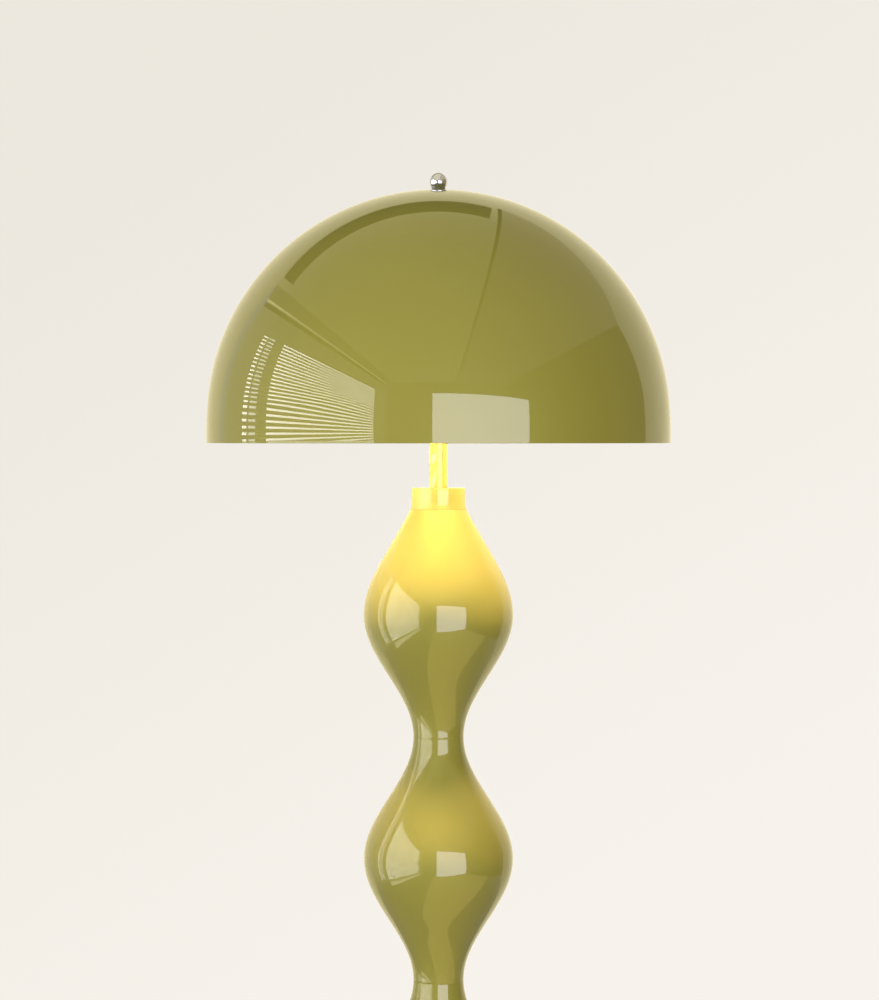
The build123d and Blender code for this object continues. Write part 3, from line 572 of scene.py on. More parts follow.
class Bench:
    """The modelling bench, where one piece at a time is added, shaped and finished."""

    dot: float = 0.002
    weld: float = 0.000004

    def clear(self) -> None:
        """Leaves edit mode and puts everything down."""
        if bpy.context.object and bpy.context.object.mode != "OBJECT":
            bpy.ops.object.mode_set(mode="OBJECT")
        bpy.ops.object.select_all(action="DESELECT")

    def take(self, piece: Piece) -> None:
        """Picks one piece up, alone.

        Args:
            piece: The piece.
        """
        self.clear()
        piece.select_set(True)
        bpy.context.view_layer.objects.active = piece

    def draw(self, name: str, outline: Outline, closed: bool) -> Piece:
        """Draws an outline on the page through the axis, point by point, and stays in edit mode.

        Args:
            name: The new piece's name.
            outline: Points as (radius, height), in order.
            closed: Whether the outline comes back to its first point.

        Returns:
            The piece, whose outline is all selected.
        """
        self.clear()
        radius, height = outline[0]
        bpy.ops.mesh.primitive_plane_add(size=self.dot, location=(radius, 0, height))
        piece = bpy.context.object
        piece.name = piece.data.name = name
        bpy.ops.object.mode_set(mode="EDIT")
        bpy.ops.mesh.select_mode(type="VERT")
        bpy.ops.mesh.select_all(action="SELECT")
        bpy.ops.mesh.merge(type="CENTER")
        path = outline + outline[:1] if closed else outline
        for (near, low), (far, high) in zip(path, path[1:]):
            step = (far - near, 0, high - low)
            bpy.ops.mesh.extrude_region_move(TRANSFORM_OT_translate={"value": step})
        bpy.ops.mesh.select_all(action="SELECT")
        return piece

    def settle(self, piece: Piece) -> None:
        """Closes seams and poles, turns the faces outwards and puts the place in the mesh.

        Args:
            piece: The piece, in edit mode.
        """
        bpy.ops.mesh.select_all(action="SELECT")
        bpy.ops.mesh.remove_doubles(threshold=self.weld)
        bpy.ops.mesh.normals_make_consistent(inside=False)
        bpy.ops.object.mode_set(mode="OBJECT")
        self.place(piece, Matrix.Identity(4))

    def place(self, piece: Piece, matrix: Matrix) -> None:
        """Moves a piece by a matrix and keeps its object at the origin.

        Args:
            piece: The piece.
            matrix: The move.
        """
        self.take(piece)
        piece.matrix_world = matrix @ piece.matrix_world
        bpy.ops.object.transform_apply(location=True, rotation=True, scale=True)

    def turn(self, name: str, outline: Outline, steps: int, closed: bool = True) -> Piece:
        """Turns an outline round the Z axis, as on a lathe.

        Args:
            name: The new piece's name.
            outline: Points as (radius, height), in order.
            steps: Facets round the axis.
            closed: Whether the outline comes back to its first point.

        Returns:
            The turned piece.
        """
        piece = self.draw(name, outline, closed)
        bpy.ops.mesh.spin(steps=steps, angle=2 * pi, center=(0, 0, 0), axis=(0, 0, 1))
        self.settle(piece)
        return piece

    def pick(self, piece: Piece, wanted: Callable[[Vector, Vector], bool]) -> None:
        """Enters edit mode with some faces selected.

        Args:
            piece: The piece to work on.
            wanted: Says for a face's middle and normal whether it is selected.
        """
        self.take(piece)
        bpy.ops.object.mode_set(mode="EDIT")
        bpy.ops.mesh.select_mode(type="FACE")
        bpy.ops.mesh.select_all(action="DESELECT")
        bpy.ops.object.mode_set(mode="OBJECT")
        for face in piece.data.polygons:
            face.select = wanted(face.center, face.normal)
        bpy.ops.object.mode_set(mode="EDIT")
        bpy.ops.mesh.select_mode(type="FACE")

    def soften(self, piece: Piece, width: float, segments: int = 2, angle: float = 50.0) -> None:
        """Rounds a piece's sharp edges.

        Args:
            piece: The piece.
            width: The rounding's width, in metres.
            segments: How many facets it has.
            angle: Edges sharper than this are rounded, in degrees.
        """
        self.take(piece)
        bevel = piece.modifiers.new("softened_edges", "BEVEL")
        bevel.width = width
        bevel.segments = segments
        bevel.limit_method = "ANGLE"
        bevel.angle_limit = radians(angle)
        bpy.ops.object.modifier_apply(modifier=bevel.name)

    def cut(self, piece: Piece, cutter: Piece) -> None:
        """Takes a cutter's shape out of a piece, and puts the cutter away.

        Args:
            piece: The piece.
            cutter: The shape that is taken out.
        """
        self.take(piece)
        boolean = piece.modifiers.new("cut", "BOOLEAN")
        boolean.operation = "DIFFERENCE"
        boolean.solver = "EXACT"
        boolean.object = cutter
        bpy.ops.object.modifier_apply(modifier=boolean.name)
        self.discard(cutter)

    def smooth(self, piece: Piece, angle: float = 30.0) -> None:
        """Shades a piece smooth, except over edges sharper than an angle in degrees."""
        self.take(piece)
        bpy.ops.object.shade_smooth_by_angle(angle=radians(angle))

    def join(self, piece: Piece, other: Piece) -> None:
        """Makes another piece part of the first one.

        Args:
            piece: The first piece.
            other: The piece that becomes part of it.
        """
        self.take(piece)
        other.select_set(True)
        bpy.ops.object.join()

    def copy(self, piece: Piece, name: str, matrix: Matrix) -> Piece:
        """Copies a piece, with its own mesh, to another place.

        Args:
            piece: The piece.
            name: The copy's name.
            matrix: The move from the piece to its copy.

        Returns:
            The copy.
        """
        self.take(piece)
        bpy.ops.object.duplicate(linked=False)
        twin = bpy.context.object
        twin.name = twin.data.name = name
        self.place(twin, matrix)
        return twin

    def discard(self, piece: Piece) -> None:
        """Puts a piece away for good."""
        self.take(piece)
        bpy.ops.object.delete()

    def dress(self, piece: Piece, slot: str) -> None:
        """Gives a piece one finish all over, the finish of one slot.

        Args:
            piece: The piece.
            slot: The slot of the finish.
        """
        piece.data.materials.clear()
        piece.data.materials.append(FINISHES[slot].material())


def swing(start: tuple[float, float], end: tuple[float, float], steps: int) -> Outline:
    """Draws half a wave, upright at both ends.

    Args:
        start: Its first point, as (radius, height).
        end: Its last point.
        steps: How many straight steps make it up.

    Returns:
        Its points.
    """
    points = []
    for step in range(steps + 1):
        share = step / steps
        radius = start[0] + (end[0] - start[0]) * (1 - cos(pi * share)) / 2
        points.append((radius, start[1] + (end[1] - start[1]) * share))
    return points


def arc(centre: float, radius: float, start: float, end: float, steps: int) -> Outline:
    """Draws an arc about a point on the axis, between two angles above the level."""
    angles = [start + (end - start) * step / steps for step in range(steps + 1)]
    return [(radius * cos(angle), centre + radius * sin(angle)) for angle in angles]


def bezier(corners: Outline, steps: int) -> Outline:
    """Draws a cubic curve.

    Args:
        corners: Its first point, its two handles and its last point, as (radius, height).
        steps: How many straight steps make it up.

    Returns:
        Its points.
    """
    points = []
    for step in range(steps + 1):
        t = step / steps
        weights = ((1 - t) ** 3, 3 * t * (1 - t) ** 2, 3 * t * t * (1 - t), t**3)
        radius = sum(w * c[0] for w, c in zip(weights, corners))
        height = sum(w * c[1] for w, c in zip(weights, corners))
        points.append((radius, height))
    return points


# --------------------------------------------------------------------------------------
# Sub-assemblies
# --------------------------------------------------------------------------------------


@dataclass
class Assembly:
    """Pieces that are modelled together. Each kind builds its own from its sizes, in metres."""

    slot: ClassVar[str]
    pieces: list[Piece] = field(default_factory=list, init=False)

    def build(self, bench: Bench) -> None:
        """Models the pieces and ties them to the frame."""
        raise NotImplementedError

    def dress(self, bench: Bench) -> None:
        """Gives every piece the finish of the assembly's slot."""
        for piece in self.pieces:
            bench.dress(piece, self.slot)


@dataclass
class Shade(Assembly):
    """The spun dome, which runs out in a flatter skirt: lacquer outside, white enamel inside."""

    slot: ClassVar[str] = "olive_lacquer"
    radius: float = 0.22457
    dome_level: float = 1.2606  # height of the dome's centre
    wall: float = 0.0012
    skirt: float = 0.037
    skirt_roundness: float = 0.375  # radius of the skirt's profile
    rim_level: float = 1.2402
    land_radius: float = 0.012  # the flat land round the hole
    crown_level: float = 1.48488
    hole_radius: float = 0.0051
    rim_rounding: float = 0.00035
    bare_rim: float = 0.0004  # height of the rim, which the enamel leaves bare
    dome_steps: int = 80
    skirt_steps: int = 16
    facets: int = 224

    def flank(self) -> list[tuple[float, float, float]]:
        """Draws the outside from the crown down to the rim.

        Returns:
            Its points as (radius, height, angle of the normal above the level).
        """
        start = acos(self.land_radius / self.radius)
        bend = asin((self.rim_level + self.skirt - self.dome_level) / self.radius)
        end = asin(sin(bend) - self.skirt / self.skirt_roundness)
        points = []
        for step in range(self.dome_steps + 1):
            angle = start + (bend - start) * step / self.dome_steps
            level = min(self.crown_level, self.dome_level + self.radius * sin(angle))
            points.append((self.radius * cos(angle), level, angle))
        radius, level, _ = points[-1]
        for step in range(1, self.skirt_steps + 1):
            angle = bend + (end - bend) * step / self.skirt_steps
            out = self.skirt_roundness * (cos(angle) - cos(bend))
            down = self.skirt_roundness * (sin(bend) - sin(angle))
            points.append((radius + out, level - down, angle))
        return points

    def outline(self) -> Outline:
        """Draws the wall's section: down the outside, round the rim and up the inside.

        Returns:
            Its points.
        """
        outer = self.flank()
        under = self.crown_level - self.wall
        inner = [(r - self.wall * cos(a), min(under, z - self.wall * sin(a))) for r, z, a in outer]
        inner[-1] = (inner[-1][0], self.rim_level)
        return [
            (self.hole_radius, self.crown_level),
            *[(r, z) for r, z, _ in outer],
            *inner[::-1],
            (self.hole_radius, under),
        ]

    def build(self, bench: Bench) -> None:
        """Spins the dome, rounds its rim and ties it to the frame.

        Args:
            bench: The modelling bench.
        """
        dome = bench.turn("shade_dome", self.outline(), self.facets)
        bench.soften(dome, self.rim_rounding, segments=3, angle=60.0)
        bench.smooth(dome)
        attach(dome, "shade")
        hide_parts("shade")
        self.pieces = [dome]

    def dress(self, bench: Bench) -> None:
        """Lacquers the dome and enamels the faces that look at the lamps.

        Args:
            bench: The modelling bench.
        """

        def faces_in(middle: Vector, normal: Vector) -> bool:
            """Says whether a face looks inwards, above the rim."""
            out = Vector((middle.x, middle.y, max(0.0, middle.z - self.dome_level)))
            return middle.z > self.rim_level + self.bare_rim and normal.dot(out) < 0

        super().dress(bench)
        (dome,) = self.pieces
        dome.data.materials.append(ENAMEL.material())
        bench.pick(dome, faces_in)
        dome.active_material_index = 1
        bpy.ops.object.material_slot_assign()
        bench.clear()


@dataclass
class Finial(Assembly):
    """The chrome ball on the crown, which narrows to a flat seat round its blind thread."""

    slot: ClassVar[str] = "chrome"
    radius: float = 0.00875
    base_radius: float = 0.0074
    bottom: float = 1.48568
    top: float = 1.50238
    seat_radius: float = 0.0069
    bore_radius: float = 0.0051
    bore_depth: float = 0.0115
    edge: float = 0.0002
    ball_steps: int = 40
    facets: int = 72

    def outline(self) -> Outline:
        """Draws the ball's section, from its top round to the blind bore.

        Returns:
            Its points.
        """
        dip = -acos(self.base_radius / self.radius)
        return [
            *arc(self.top - self.radius, self.radius, pi / 2, dip, self.ball_steps),
            (self.seat_radius, self.bottom),
            (self.bore_radius, self.bottom),
            (self.bore_radius, self.bottom + self.bore_depth),
            (0.0, self.bottom + self.bore_depth),
        ]

    def build(self, bench: Bench) -> None:
        """Turns the ball and breaks its lower edge.

        Args:
            bench: The modelling bench.
        """
        ball = bench.turn("finial_ball", self.outline(), self.facets, closed=False)
        bench.soften(ball, self.edge, angle=40.0)
        bench.smooth(ball)
        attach(ball, "finial")
        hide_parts("finial")
        self.pieces = [ball]


@dataclass
class Column(Assembly):
    """The wavy column: three full waves, the top bulge and the collar on its neck."""

    slot: ClassVar[str] = "olive_lacquer"
    bulge: float = 0.0728
    waist: float = 0.0245
    pitch: float = 0.238
    wall: float = 0.0018
    bottom: float = 0.240
    waves: int = 3
    neck_radius: float = 0.0273
    neck_rise: float = 0.1027
    neck_lean: float = 27.0  # degrees off the upright, where the flank meets the neck
    roundness: float = 0.034  # length of the flank's handle at the widest place
    straightness: float = 0.048  # length of its handle at the neck
    flange: float = 0.003
    mast_clearance: float = 0.0086
    collar_radius: float = 0.0261
    collar_height: float = 0.021
    collar_wall: float = 0.002
    collar_lid: float = 0.0025
    collar_flare: float = 0.0095
    joint_edge: float = 0.0001  # rounding where two waves meet
    lid_edge: float = 0.0005
    swing_steps: int = 44
    neck_steps: int = 48
    flare_steps: int = 10
    facets: int = 160
    collar_facets: int = 128
    top_middle: float = field(init=False)
    neck: float = field(init=False)

    def __post_init__(self) -> None:
        """Works out the levels of the top bulge's widest place and of the neck."""
        self.top_middle = self.bottom + self.waves * self.pitch + self.pitch / 2
        self.neck = self.top_middle + self.neck_rise

    def wave_outline(self, level: float) -> Outline:
        """Draws the section of one full wave.

        Args:
            level: Where the wave starts.

        Returns:
            Its points.
        """
        middle, top = level + self.pitch / 2, level + self.pitch
        outer = swing((self.waist, level), (self.bulge, middle), self.swing_steps)
        outer += swing((self.bulge, middle), (self.waist, top), self.swing_steps)[1:]
        inner = [(radius - self.wall, height) for radius, height in outer]
        return outer + inner[::-1]

    def top_outline(self) -> Outline:
        """Draws the section of the top bulge, which ends in a flange round the mast.

        Returns:
            Its points.
        """
        middle, neck = self.top_middle, self.neck
        lean = radians(self.neck_lean)
        out, down = self.straightness * sin(lean), self.straightness * cos(lean)
        flank = [
            (self.bulge, middle),
            (self.bulge, middle + self.roundness),
            (self.neck_radius + out, neck - down),
            (self.neck_radius, neck),
        ]
        bottom = (self.waist, middle - self.pitch / 2)
        outer = swing(bottom, (self.bulge, middle), self.swing_steps)
        outer += bezier(flank, self.neck_steps)[1:]
        inner = [(r - self.wall, z) for r, z in outer if z < neck - self.flange]
        return [
            *outer,
            (self.mast_clearance, neck),
            (self.mast_clearance, neck - self.flange),
            (self.neck_radius - self.wall, neck - self.flange),
            *inner[::-1],
        ]

    def collar_outline(self) -> Outline:
        """Draws the section of the cup over the clamp nut, which flares where it meets the neck.

        Returns:
            Its points.
        """
        top = self.neck + self.collar_height
        bore = self.collar_radius - self.collar_wall
        flare = self.neck_radius - self.collar_radius
        sweep = []
        for step in range(self.flare_steps + 1):
            share = step / self.flare_steps
            radius = self.collar_radius + flare * (1 - share) ** 2
            sweep.append((radius, self.neck + self.collar_flare * share))
        return [
            *sweep,
            (self.collar_radius, top),
            (self.mast_clearance, top),
            (self.mast_clearance, top - self.collar_lid),
            (bore, top - self.collar_lid),
            (bore, self.neck),
        ]

    def build(self, bench: Bench) -> None:
        """Spins one wave and copies it up the column, then the top bulge and the collar.

        Args:
            bench: The modelling bench.
        """
        first = bench.turn("column_wave_1", self.wave_outline(self.bottom), self.facets)
        bench.soften(first, self.joint_edge)
        bench.smooth(first)
        self.pieces = [first]
        for number in range(2, self.waves + 1):
            lift = Matrix.Translation((0, 0, (number - 1) * self.pitch))
            self.pieces.append(bench.copy(first, f"column_wave_{number}", lift))
        top = bench.turn("column_top_bulge", self.top_outline(), self.facets)
        bench.soften(top, self.joint_edge)
        bench.smooth(top)
        collar = bench.turn("column_collar", self.collar_outline(), self.collar_facets)
        bench.soften(collar, self.lid_edge, segments=3)
        bench.smooth(collar)
        self.pieces += [top, collar]
        nodes = [f"column_shell_{number}" for number in range(1, self.waves + 1)]
        for piece, node in zip(self.pieces, [*nodes, "column_top_shell", "neck_collar"]):
            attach(piece, "stand")
            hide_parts(node)


@dataclass
class Foot(Assembly):
    """The bell foot, drilled at the back for the cord's gland."""

    slot: ClassVar[str] = "olive_lacquer"
    radius: float = 0.150
    waist: float = 0.0245
    wall: float = 0.0018
    bottom: float = 0.003
    height: float = 0.237
    plate_top: float = 0.008
    plate_radius: float = 0.1477
    plate_fit: float = 0.0003
    lip: float = 0.012  # width of the lip that lies on the plate
    lip_gap: float = 0.0005  # least height of the wall's first step over the lip
    gland_level: float = 0.020
    gland_radius: float = 0.0051
    gland_bore: tuple[float, float] = (-0.012, 0.002)  # from and to, out from the bell's skin
    flange_radius: float = 0.00725
    flange_bore: tuple[float, float] = (0.0, 0.006)
    edge: float = 0.0004
    swing_steps: int = 72
    facets: int = 224
    drill_facets: int = 64

    def radius_at(self, level: float) -> float:
        """Works out the bell's outer radius at a level."""
        share = (level - self.bottom) / self.height
        return self.radius - (self.radius - self.waist) * (1 - cos(pi * share)) / 2

    def outline(self) -> Outline:
        """Draws the section: up the outside, down the inside and round the lip on the plate.

        Returns:
            Its points.
        """
        top = (self.waist, self.bottom + self.height)
        outer = swing((self.radius, self.bottom), top, self.swing_steps)
        seat = self.plate_top + self.wall
        inner = [(r - self.wall, z) for r, z in outer if z > seat + self.lip_gap]
        return [
            *outer,
            *inner[::-1],
            (self.radius_at(seat) - self.wall, seat),
            (self.plate_radius - self.lip, seat),
            (self.plate_radius - self.lip, self.plate_top),
            (self.plate_radius, self.plate_top),
            (self.plate_radius + self.plate_fit, self.bottom),
        ]

    def drill(self, bench: Bench, bell: Piece, radius: float, bore: tuple[float, float]) -> None:
        """Drills the back of the bell at the gland's level.

        Args:
            bench: The modelling bench.
            bell: The bell.
            radius: The drill's radius.
            bore: Where the bore starts and ends, outwards from the bell's skin.
        """
        near, far = (self.radius_at(self.gland_level) + distance for distance in bore)
        bench.clear()
        bpy.ops.mesh.primitive_cylinder_add(
            vertices=self.drill_facets,
            radius=radius,
            depth=far - near,
            location=(0, (near + far) / 2, self.gland_level),
            rotation=(pi / 2, 0, 0),
        )
        bench.cut(bell, bpy.context.object)

    def build(self, bench: Bench) -> None:
        """Spins the bell, softens its edges and drills it.

        Args:
            bench: The modelling bench.
        """
        bell = bench.turn("foot_bell", self.outline(), self.facets)
        bench.soften(bell, self.edge)
        self.drill(bench, bell, self.gland_radius, self.gland_bore)
        self.drill(bench, bell, self.flange_radius, self.flange_bore)
        bench.smooth(bell)
        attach(bell, "stand")
        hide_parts("foot_shell")
        self.pieces = [bell]


@dataclass
class LampAxes:
    """The three lamps' axes, which start in the middle of the hub and lean up a little."""

    count: int = 3
    first_angle: float = 90.0
    tilt: float = 15.0

    def matrices(self) -> list[Matrix]:
        """Works out how a piece built up the Z axis moves to each lamp's axis.

        Returns:
            One matrix for each lamp.
        """
        lean = radians(self.tilt)
        made = []
        for number in range(self.count):
            turn = radians(self.first_angle + number * 360 / self.count)
            outward = Vector((cos(turn) * cos(lean), sin(turn) * cos(lean), sin(lean)))
            aim = outward.to_track_quat("Z", "Y").to_matrix().to_4x4()
            made.append(Matrix.Translation(HUB_CENTRE) @ aim)
        return made


@dataclass
class Lampholders(Assembly):
    """The lampholders' caps, and their sleeves with grip flutes.

    Levels are measured along the lamp's own axis, from the middle of the hub.
    """

    slot: ClassVar[str] = "holder_white"
    axes: LampAxes
    entry_radius: float = 0.009
    bore: float = 0.005
    start: float = 0.040
    shoulder_start: float = 0.045
    shoulder_end: float = 0.055
    mouth: float = 0.066
    radius: float = 0.019
    wall: float = 0.002
    floor: float = 0.051
    ledge: float = 0.056
    ledge_radius: float = 0.013
    sleeve_radius: float = 0.0195
    sleeve_wall: float = 0.0035
    sleeve_start: float = 0.061
    sleeve_end: float = 0.094
    sleeve_lip: float = 0.002
    spigot_fit: float = 0.0001  # play between the sleeve's spigot and the cap
    mouth_radius: float = 0.0143
    inner_band: float = 0.003  # plain bands at both ends of the flutes
    outer_band: float = 0.005
    flutes: int = 24
    facets_per_flute: int = 4
    flute_edge: float = 0.0004
    flute_depth: float = 0.0005
    cap_edge: float = 0.0007
    sleeve_edge: float = 0.0005
    cap_facets: int = 96

    def cap_outline(self) -> Outline:
        """Draws the cap's section, along the lamp's axis.

        Returns:
            Its points.
        """
        inside = self.radius - self.wall
        return [
            (self.bore, self.start),
            (self.entry_radius, self.start),
            (self.entry_radius, self.shoulder_start),
            (self.radius, self.shoulder_end),
            (self.radius, self.mouth),
            (inside, self.mouth),
            (inside, self.ledge),
            (self.ledge_radius, self.ledge),
            (self.ledge_radius, self.floor),
            (self.bore, self.floor),
        ]

    def sleeve_outline(self) -> Outline:
        """Draws the sleeve's section, which has a plain band at each end of its flutes.

        Returns:
            Its points.
        """
        inside = self.sleeve_radius - self.sleeve_wall
        spigot = self.radius - self.wall - self.spigot_fit
        return [
            (inside, self.sleeve_start),
            (spigot, self.sleeve_start),
            (spigot, self.mouth),
            (self.sleeve_radius, self.mouth),
            (self.sleeve_radius, self.mouth + self.inner_band),
            (self.sleeve_radius, self.sleeve_end - self.outer_band),
            (self.sleeve_radius, self.sleeve_end),
            (self.mouth_radius, self.sleeve_end),
            (self.mouth_radius, self.sleeve_end - self.sleeve_lip),
            (inside, self.sleeve_end - self.sleeve_lip),
        ]

    def facet(self, middle: Vector) -> int:
        """Counts round the axis to the facet that a point is on."""
        turn = (middle.to_2d().angle_signed(Vector((1, 0))) / (2 * pi)) % 1.0
        return int(turn * (self.flutes * self.facets_per_flute))

    def flute(self, bench: Bench, sleeve: Piece) -> None:
        """Sinks a flute in every other pair of facets round the sleeve's middle band.

        Args:
            bench: The modelling bench.
            sleeve: The sleeve.
        """
        low, high = self.mouth + self.inner_band, self.sleeve_end - self.outer_band
        inside = self.sleeve_radius / 2
        half = self.facets_per_flute / 2

        def in_flute(middle: Vector, normal: Vector) -> bool:
            """Says whether a face is on the outside of the band, and in a flute."""
            outside = low < middle.z < high and normal.to_2d().dot(middle.to_2d()) > inside
            return outside and self.facet(middle) % self.facets_per_flute < half

        bench.pick(sleeve, in_flute)
        bpy.ops.mesh.inset(thickness=self.flute_edge, depth=-self.flute_depth)
        bench.clear()

    def build(self, bench: Bench) -> None:
        """Models one cap and one sleeve and copies them to each lamp's axis.

        Args:
            bench: The modelling bench.
        """
        cap = bench.turn("holder_cap", self.cap_outline(), self.cap_facets)
        bench.soften(cap, self.cap_edge, segments=3, angle=28.0)
        facets = self.flutes * self.facets_per_flute
        sleeve = bench.turn("holder_sleeve", self.sleeve_outline(), facets)
        self.flute(bench, sleeve)
        bench.soften(sleeve, self.sleeve_edge, angle=60.0)
        for piece, stem, kind in ((cap, "holder_cap", "lamp"), (sleeve, "holder_sleeve", "fluted")):
            bench.smooth(piece)
            for number, matrix in enumerate(self.axes.matrices(), start=1):
                twin = bench.copy(piece, f"{kind}_{stem}_{number}", matrix)
                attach(twin, "stand")
                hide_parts(f"{stem}_{number}")
                self.pieces.append(twin)
            bench.discard(piece)


@dataclass
class Bulbs(Assembly):
    """The three bulbs: a screw cap with a rolled thread, a flared housing and an opal globe.

    Levels are measured along the bulb's own axis, from the middle of the hub.
    """

    axes: LampAxes
    cap_start: float = 0.0664
    cap_end: float = 0.090
    cap_cone: float = 0.0036
    contact_radius: float = 0.0046
    thread_radius: float = 0.0131
    thread_depth: float = 0.0008
    thread_pitch: float = 0.00363
    thread_turns: int = 6
    thread_length: float = 0.0148
    blend: float = 0.0006  # how far the cone and the collar run into the thread
    sheet: float = 0.0003  # thickness of the cap's metal
    fit: float = 0.0002  # play between the cap and the housing
    neck_radius: float = 0.0136
    neck_length: float = 0.014
    spigot_length: float = 0.012
    flare_start: float = 0.094
    flare_length: float = 0.012
    housing_edge: float = 0.0004
    seat: float = 0.12802
    seat_radius: float = 0.0268
    seat_step: float = 0.0008
    globe_centre: float = 0.1415
    globe_radius: float = 0.030
    globe_wall: float = 0.0012
    globe_gap: float = 0.0003
    roll_steps: int = 10
    thread_facets: int = 40
    cap_facets: int = 80
    facets: int = 96
    flare_steps: int = 24
    globe_steps: int = 40
    piece_slots: list[str] = field(default_factory=list, init=False)

    def thread(self, bench: Bench, middle: float, start: float) -> Piece:
        """Rolls the thread as one long screw and trims both its ends level.

        Args:
            bench: The modelling bench.
            middle: The radius half way between crest and root.
            start: The level where the thread starts.

        Returns:
            The thread's skin.
        """
        turn = []
        for step in range(self.roll_steps + 1):
            share = step / self.roll_steps
            radius = middle + self.thread_depth / 2 * sin(2 * pi * share)
            turn.append((radius, start - self.thread_pitch * (1 - share)))
        thread = bench.draw("bulb_thread", turn, closed=False)
        bpy.ops.mesh.screw(
            steps=self.thread_facets, turns=self.thread_turns, center=(0, 0, 0), axis=(0, 0, 1)
        )
        bench.settle(thread)
        bench.take(thread)
        bpy.ops.object.mode_set(mode="EDIT")
        for level, side in ((start, "clear_inner"), (start + self.thread_length, "clear_outer")):
            bpy.ops.mesh.select_all(action="SELECT")
            bpy.ops.mesh.bisect(plane_co=(0, 0, level), plane_no=(0, 0, 1), **{side: True})
        bench.clear()
        return thread

    def cap(self, bench: Bench) -> Piece:
        """Makes the screw cap: a helical thread between a plain cone and a plain collar.

        Args:
            bench: The modelling bench.

        Returns:
            The cap, along the Z axis.
        """
        crest, blend = self.thread_radius, self.blend
        middle = crest - self.thread_depth / 2
        start = self.cap_start + self.cap_cone
        end = start + self.thread_length
        thread = self.thread(bench, middle, start)
        cone_outline = [
            (self.contact_radius, self.cap_start),
            (crest - 2 * blend, start - blend),
            (crest - blend, start),
            (middle, start + blend),
        ]
        collar_outline = [(middle, end - blend), (crest, end + self.fit), (crest, self.cap_end)]
        cone = bench.turn("bulb_cap", cone_outline, self.cap_facets, closed=False)
        collar = bench.turn("bulb_collar", collar_outline, self.cap_facets, closed=False)
        bench.join(cone, thread)
        bench.join(cone, collar)
        bench.take(cone)
        wall = cone.modifiers.new("sheet", "SOLIDIFY")
        wall.thickness = self.sheet
        wall.offset = -1.0
        bpy.ops.object.modifier_apply(modifier=wall.name)
        return cone

    def housing(self, bench: Bench) -> Piece:
        """Turns the housing, from its spigot in the cap to the seat of the globe.

        Args:
            bench: The modelling bench.

        Returns:
            The housing, along the Z axis.
        """
        lean = acos(self.seat_radius / self.globe_radius)
        inwards, down = self.flare_length * sin(lean), self.flare_length * cos(lean)
        flare = [
            (self.neck_radius, self.flare_start),
            (self.neck_radius, self.flare_start + self.neck_length),
            (self.seat_radius - inwards, self.seat - down),
            (self.seat_radius, self.seat),
        ]
        spigot = self.thread_radius - self.thread_depth - self.sheet - self.fit
        outline = [
            (0.0, self.cap_end - self.spigot_length),
            (spigot, self.cap_end - self.spigot_length),
            (spigot, self.cap_end + self.fit),
            (self.neck_radius, self.cap_end + self.fit),
            *bezier(flare, self.flare_steps),
            (self.seat_radius - self.seat_step, self.seat),
            (0.0, self.seat),
        ]
        housing = bench.turn("bulb_housing", outline, self.facets, closed=False)
        bench.soften(housing, self.housing_edge)
        return housing

    def globe(self, bench: Bench) -> Piece:
        """Turns the opal globe with its wall.

        Args:
            bench: The modelling bench.

        Returns:
            The globe, along the Z axis.
        """
        outer, inner = self.globe_radius, self.globe_radius - self.globe_wall
        drop = self.globe_centre - self.seat - self.globe_gap
        outline = [
            *arc(self.globe_centre, outer, -asin(drop / outer), pi / 2, self.globe_steps),
            *arc(self.globe_centre, inner, pi / 2, -asin(drop / inner), self.globe_steps),
        ]
        return bench.turn("bulb_globe", outline, self.facets)

    def build(self, bench: Bench) -> None:
        """Models one bulb and copies its pieces to each lamp's axis.

        Args:
            bench: The modelling bench.
        """
        shapes = (
            (self.cap(bench), "bulb_cap", "rolled_cap", "bulb_metal"),
            (self.housing(bench), "bulb_housing", "flared_housing", "bulb_plastic"),
            (self.globe(bench), "bulb_globe", "opal_globe", "bulb_opal"),
        )
        for shape, stem, name, slot in shapes:
            bench.smooth(shape, 40.0)
            for number, matrix in enumerate(self.axes.matrices(), start=1):
                twin = bench.copy(shape, f"{name}_{number}", matrix)
                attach(twin, f"bulb_{number}")
                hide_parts(f"{stem}_{number}")
                self.pieces.append(twin)
                self.piece_slots.append(slot)
            bench.discard(shape)

    def dress(self, bench: Bench) -> None:
        """Dresses the caps, housings and globes."""
        for piece, slot in zip(self.pieces, self.piece_slots):
            bench.dress(piece, slot)


@dataclass
class Works:
    """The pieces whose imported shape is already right: they only get their finishes."""

    frame: dict

    def dress(self) -> int:
        """Gives every shown CAD node the finish of its slot.

        Returns:
            How many nodes there are.
        """
        slots = {part["node"]: part["material_slot"] for part in self.frame["record"]["subparts"]}
        shown = [name for name, node in self.frame["nodes"].items() if not node.hide_render]
        for name in shown:
            node = self.frame["nodes"][name]
            material = FINISHES[slots[name]].material()
            if node.material_slots:
                for place in node.material_slots:
                    place.material = material
            else:
                node.data.materials.append(material)
        return len(shown)


# --------------------------------------------------------------------------------------
# Studio
# --------------------------------------------------------------------------------------


class Facing(Enum):
    """Which way a card in the room faces, with the way that its height runs."""

    RIGHT = ((1, 0, 0), (0, 0, 1))
    LEFT = ((-1, 0, 0), (0, 0, 1))
    BACK = ((0, 1, 0), (0, 0, 1))
    FRONT = ((0, -1, 0), (0, 0, 1))
    DOWN = ((0, 0, -1), (0, 1, 0))
    UP = ((0, 0, 1), (0, 1, 0))


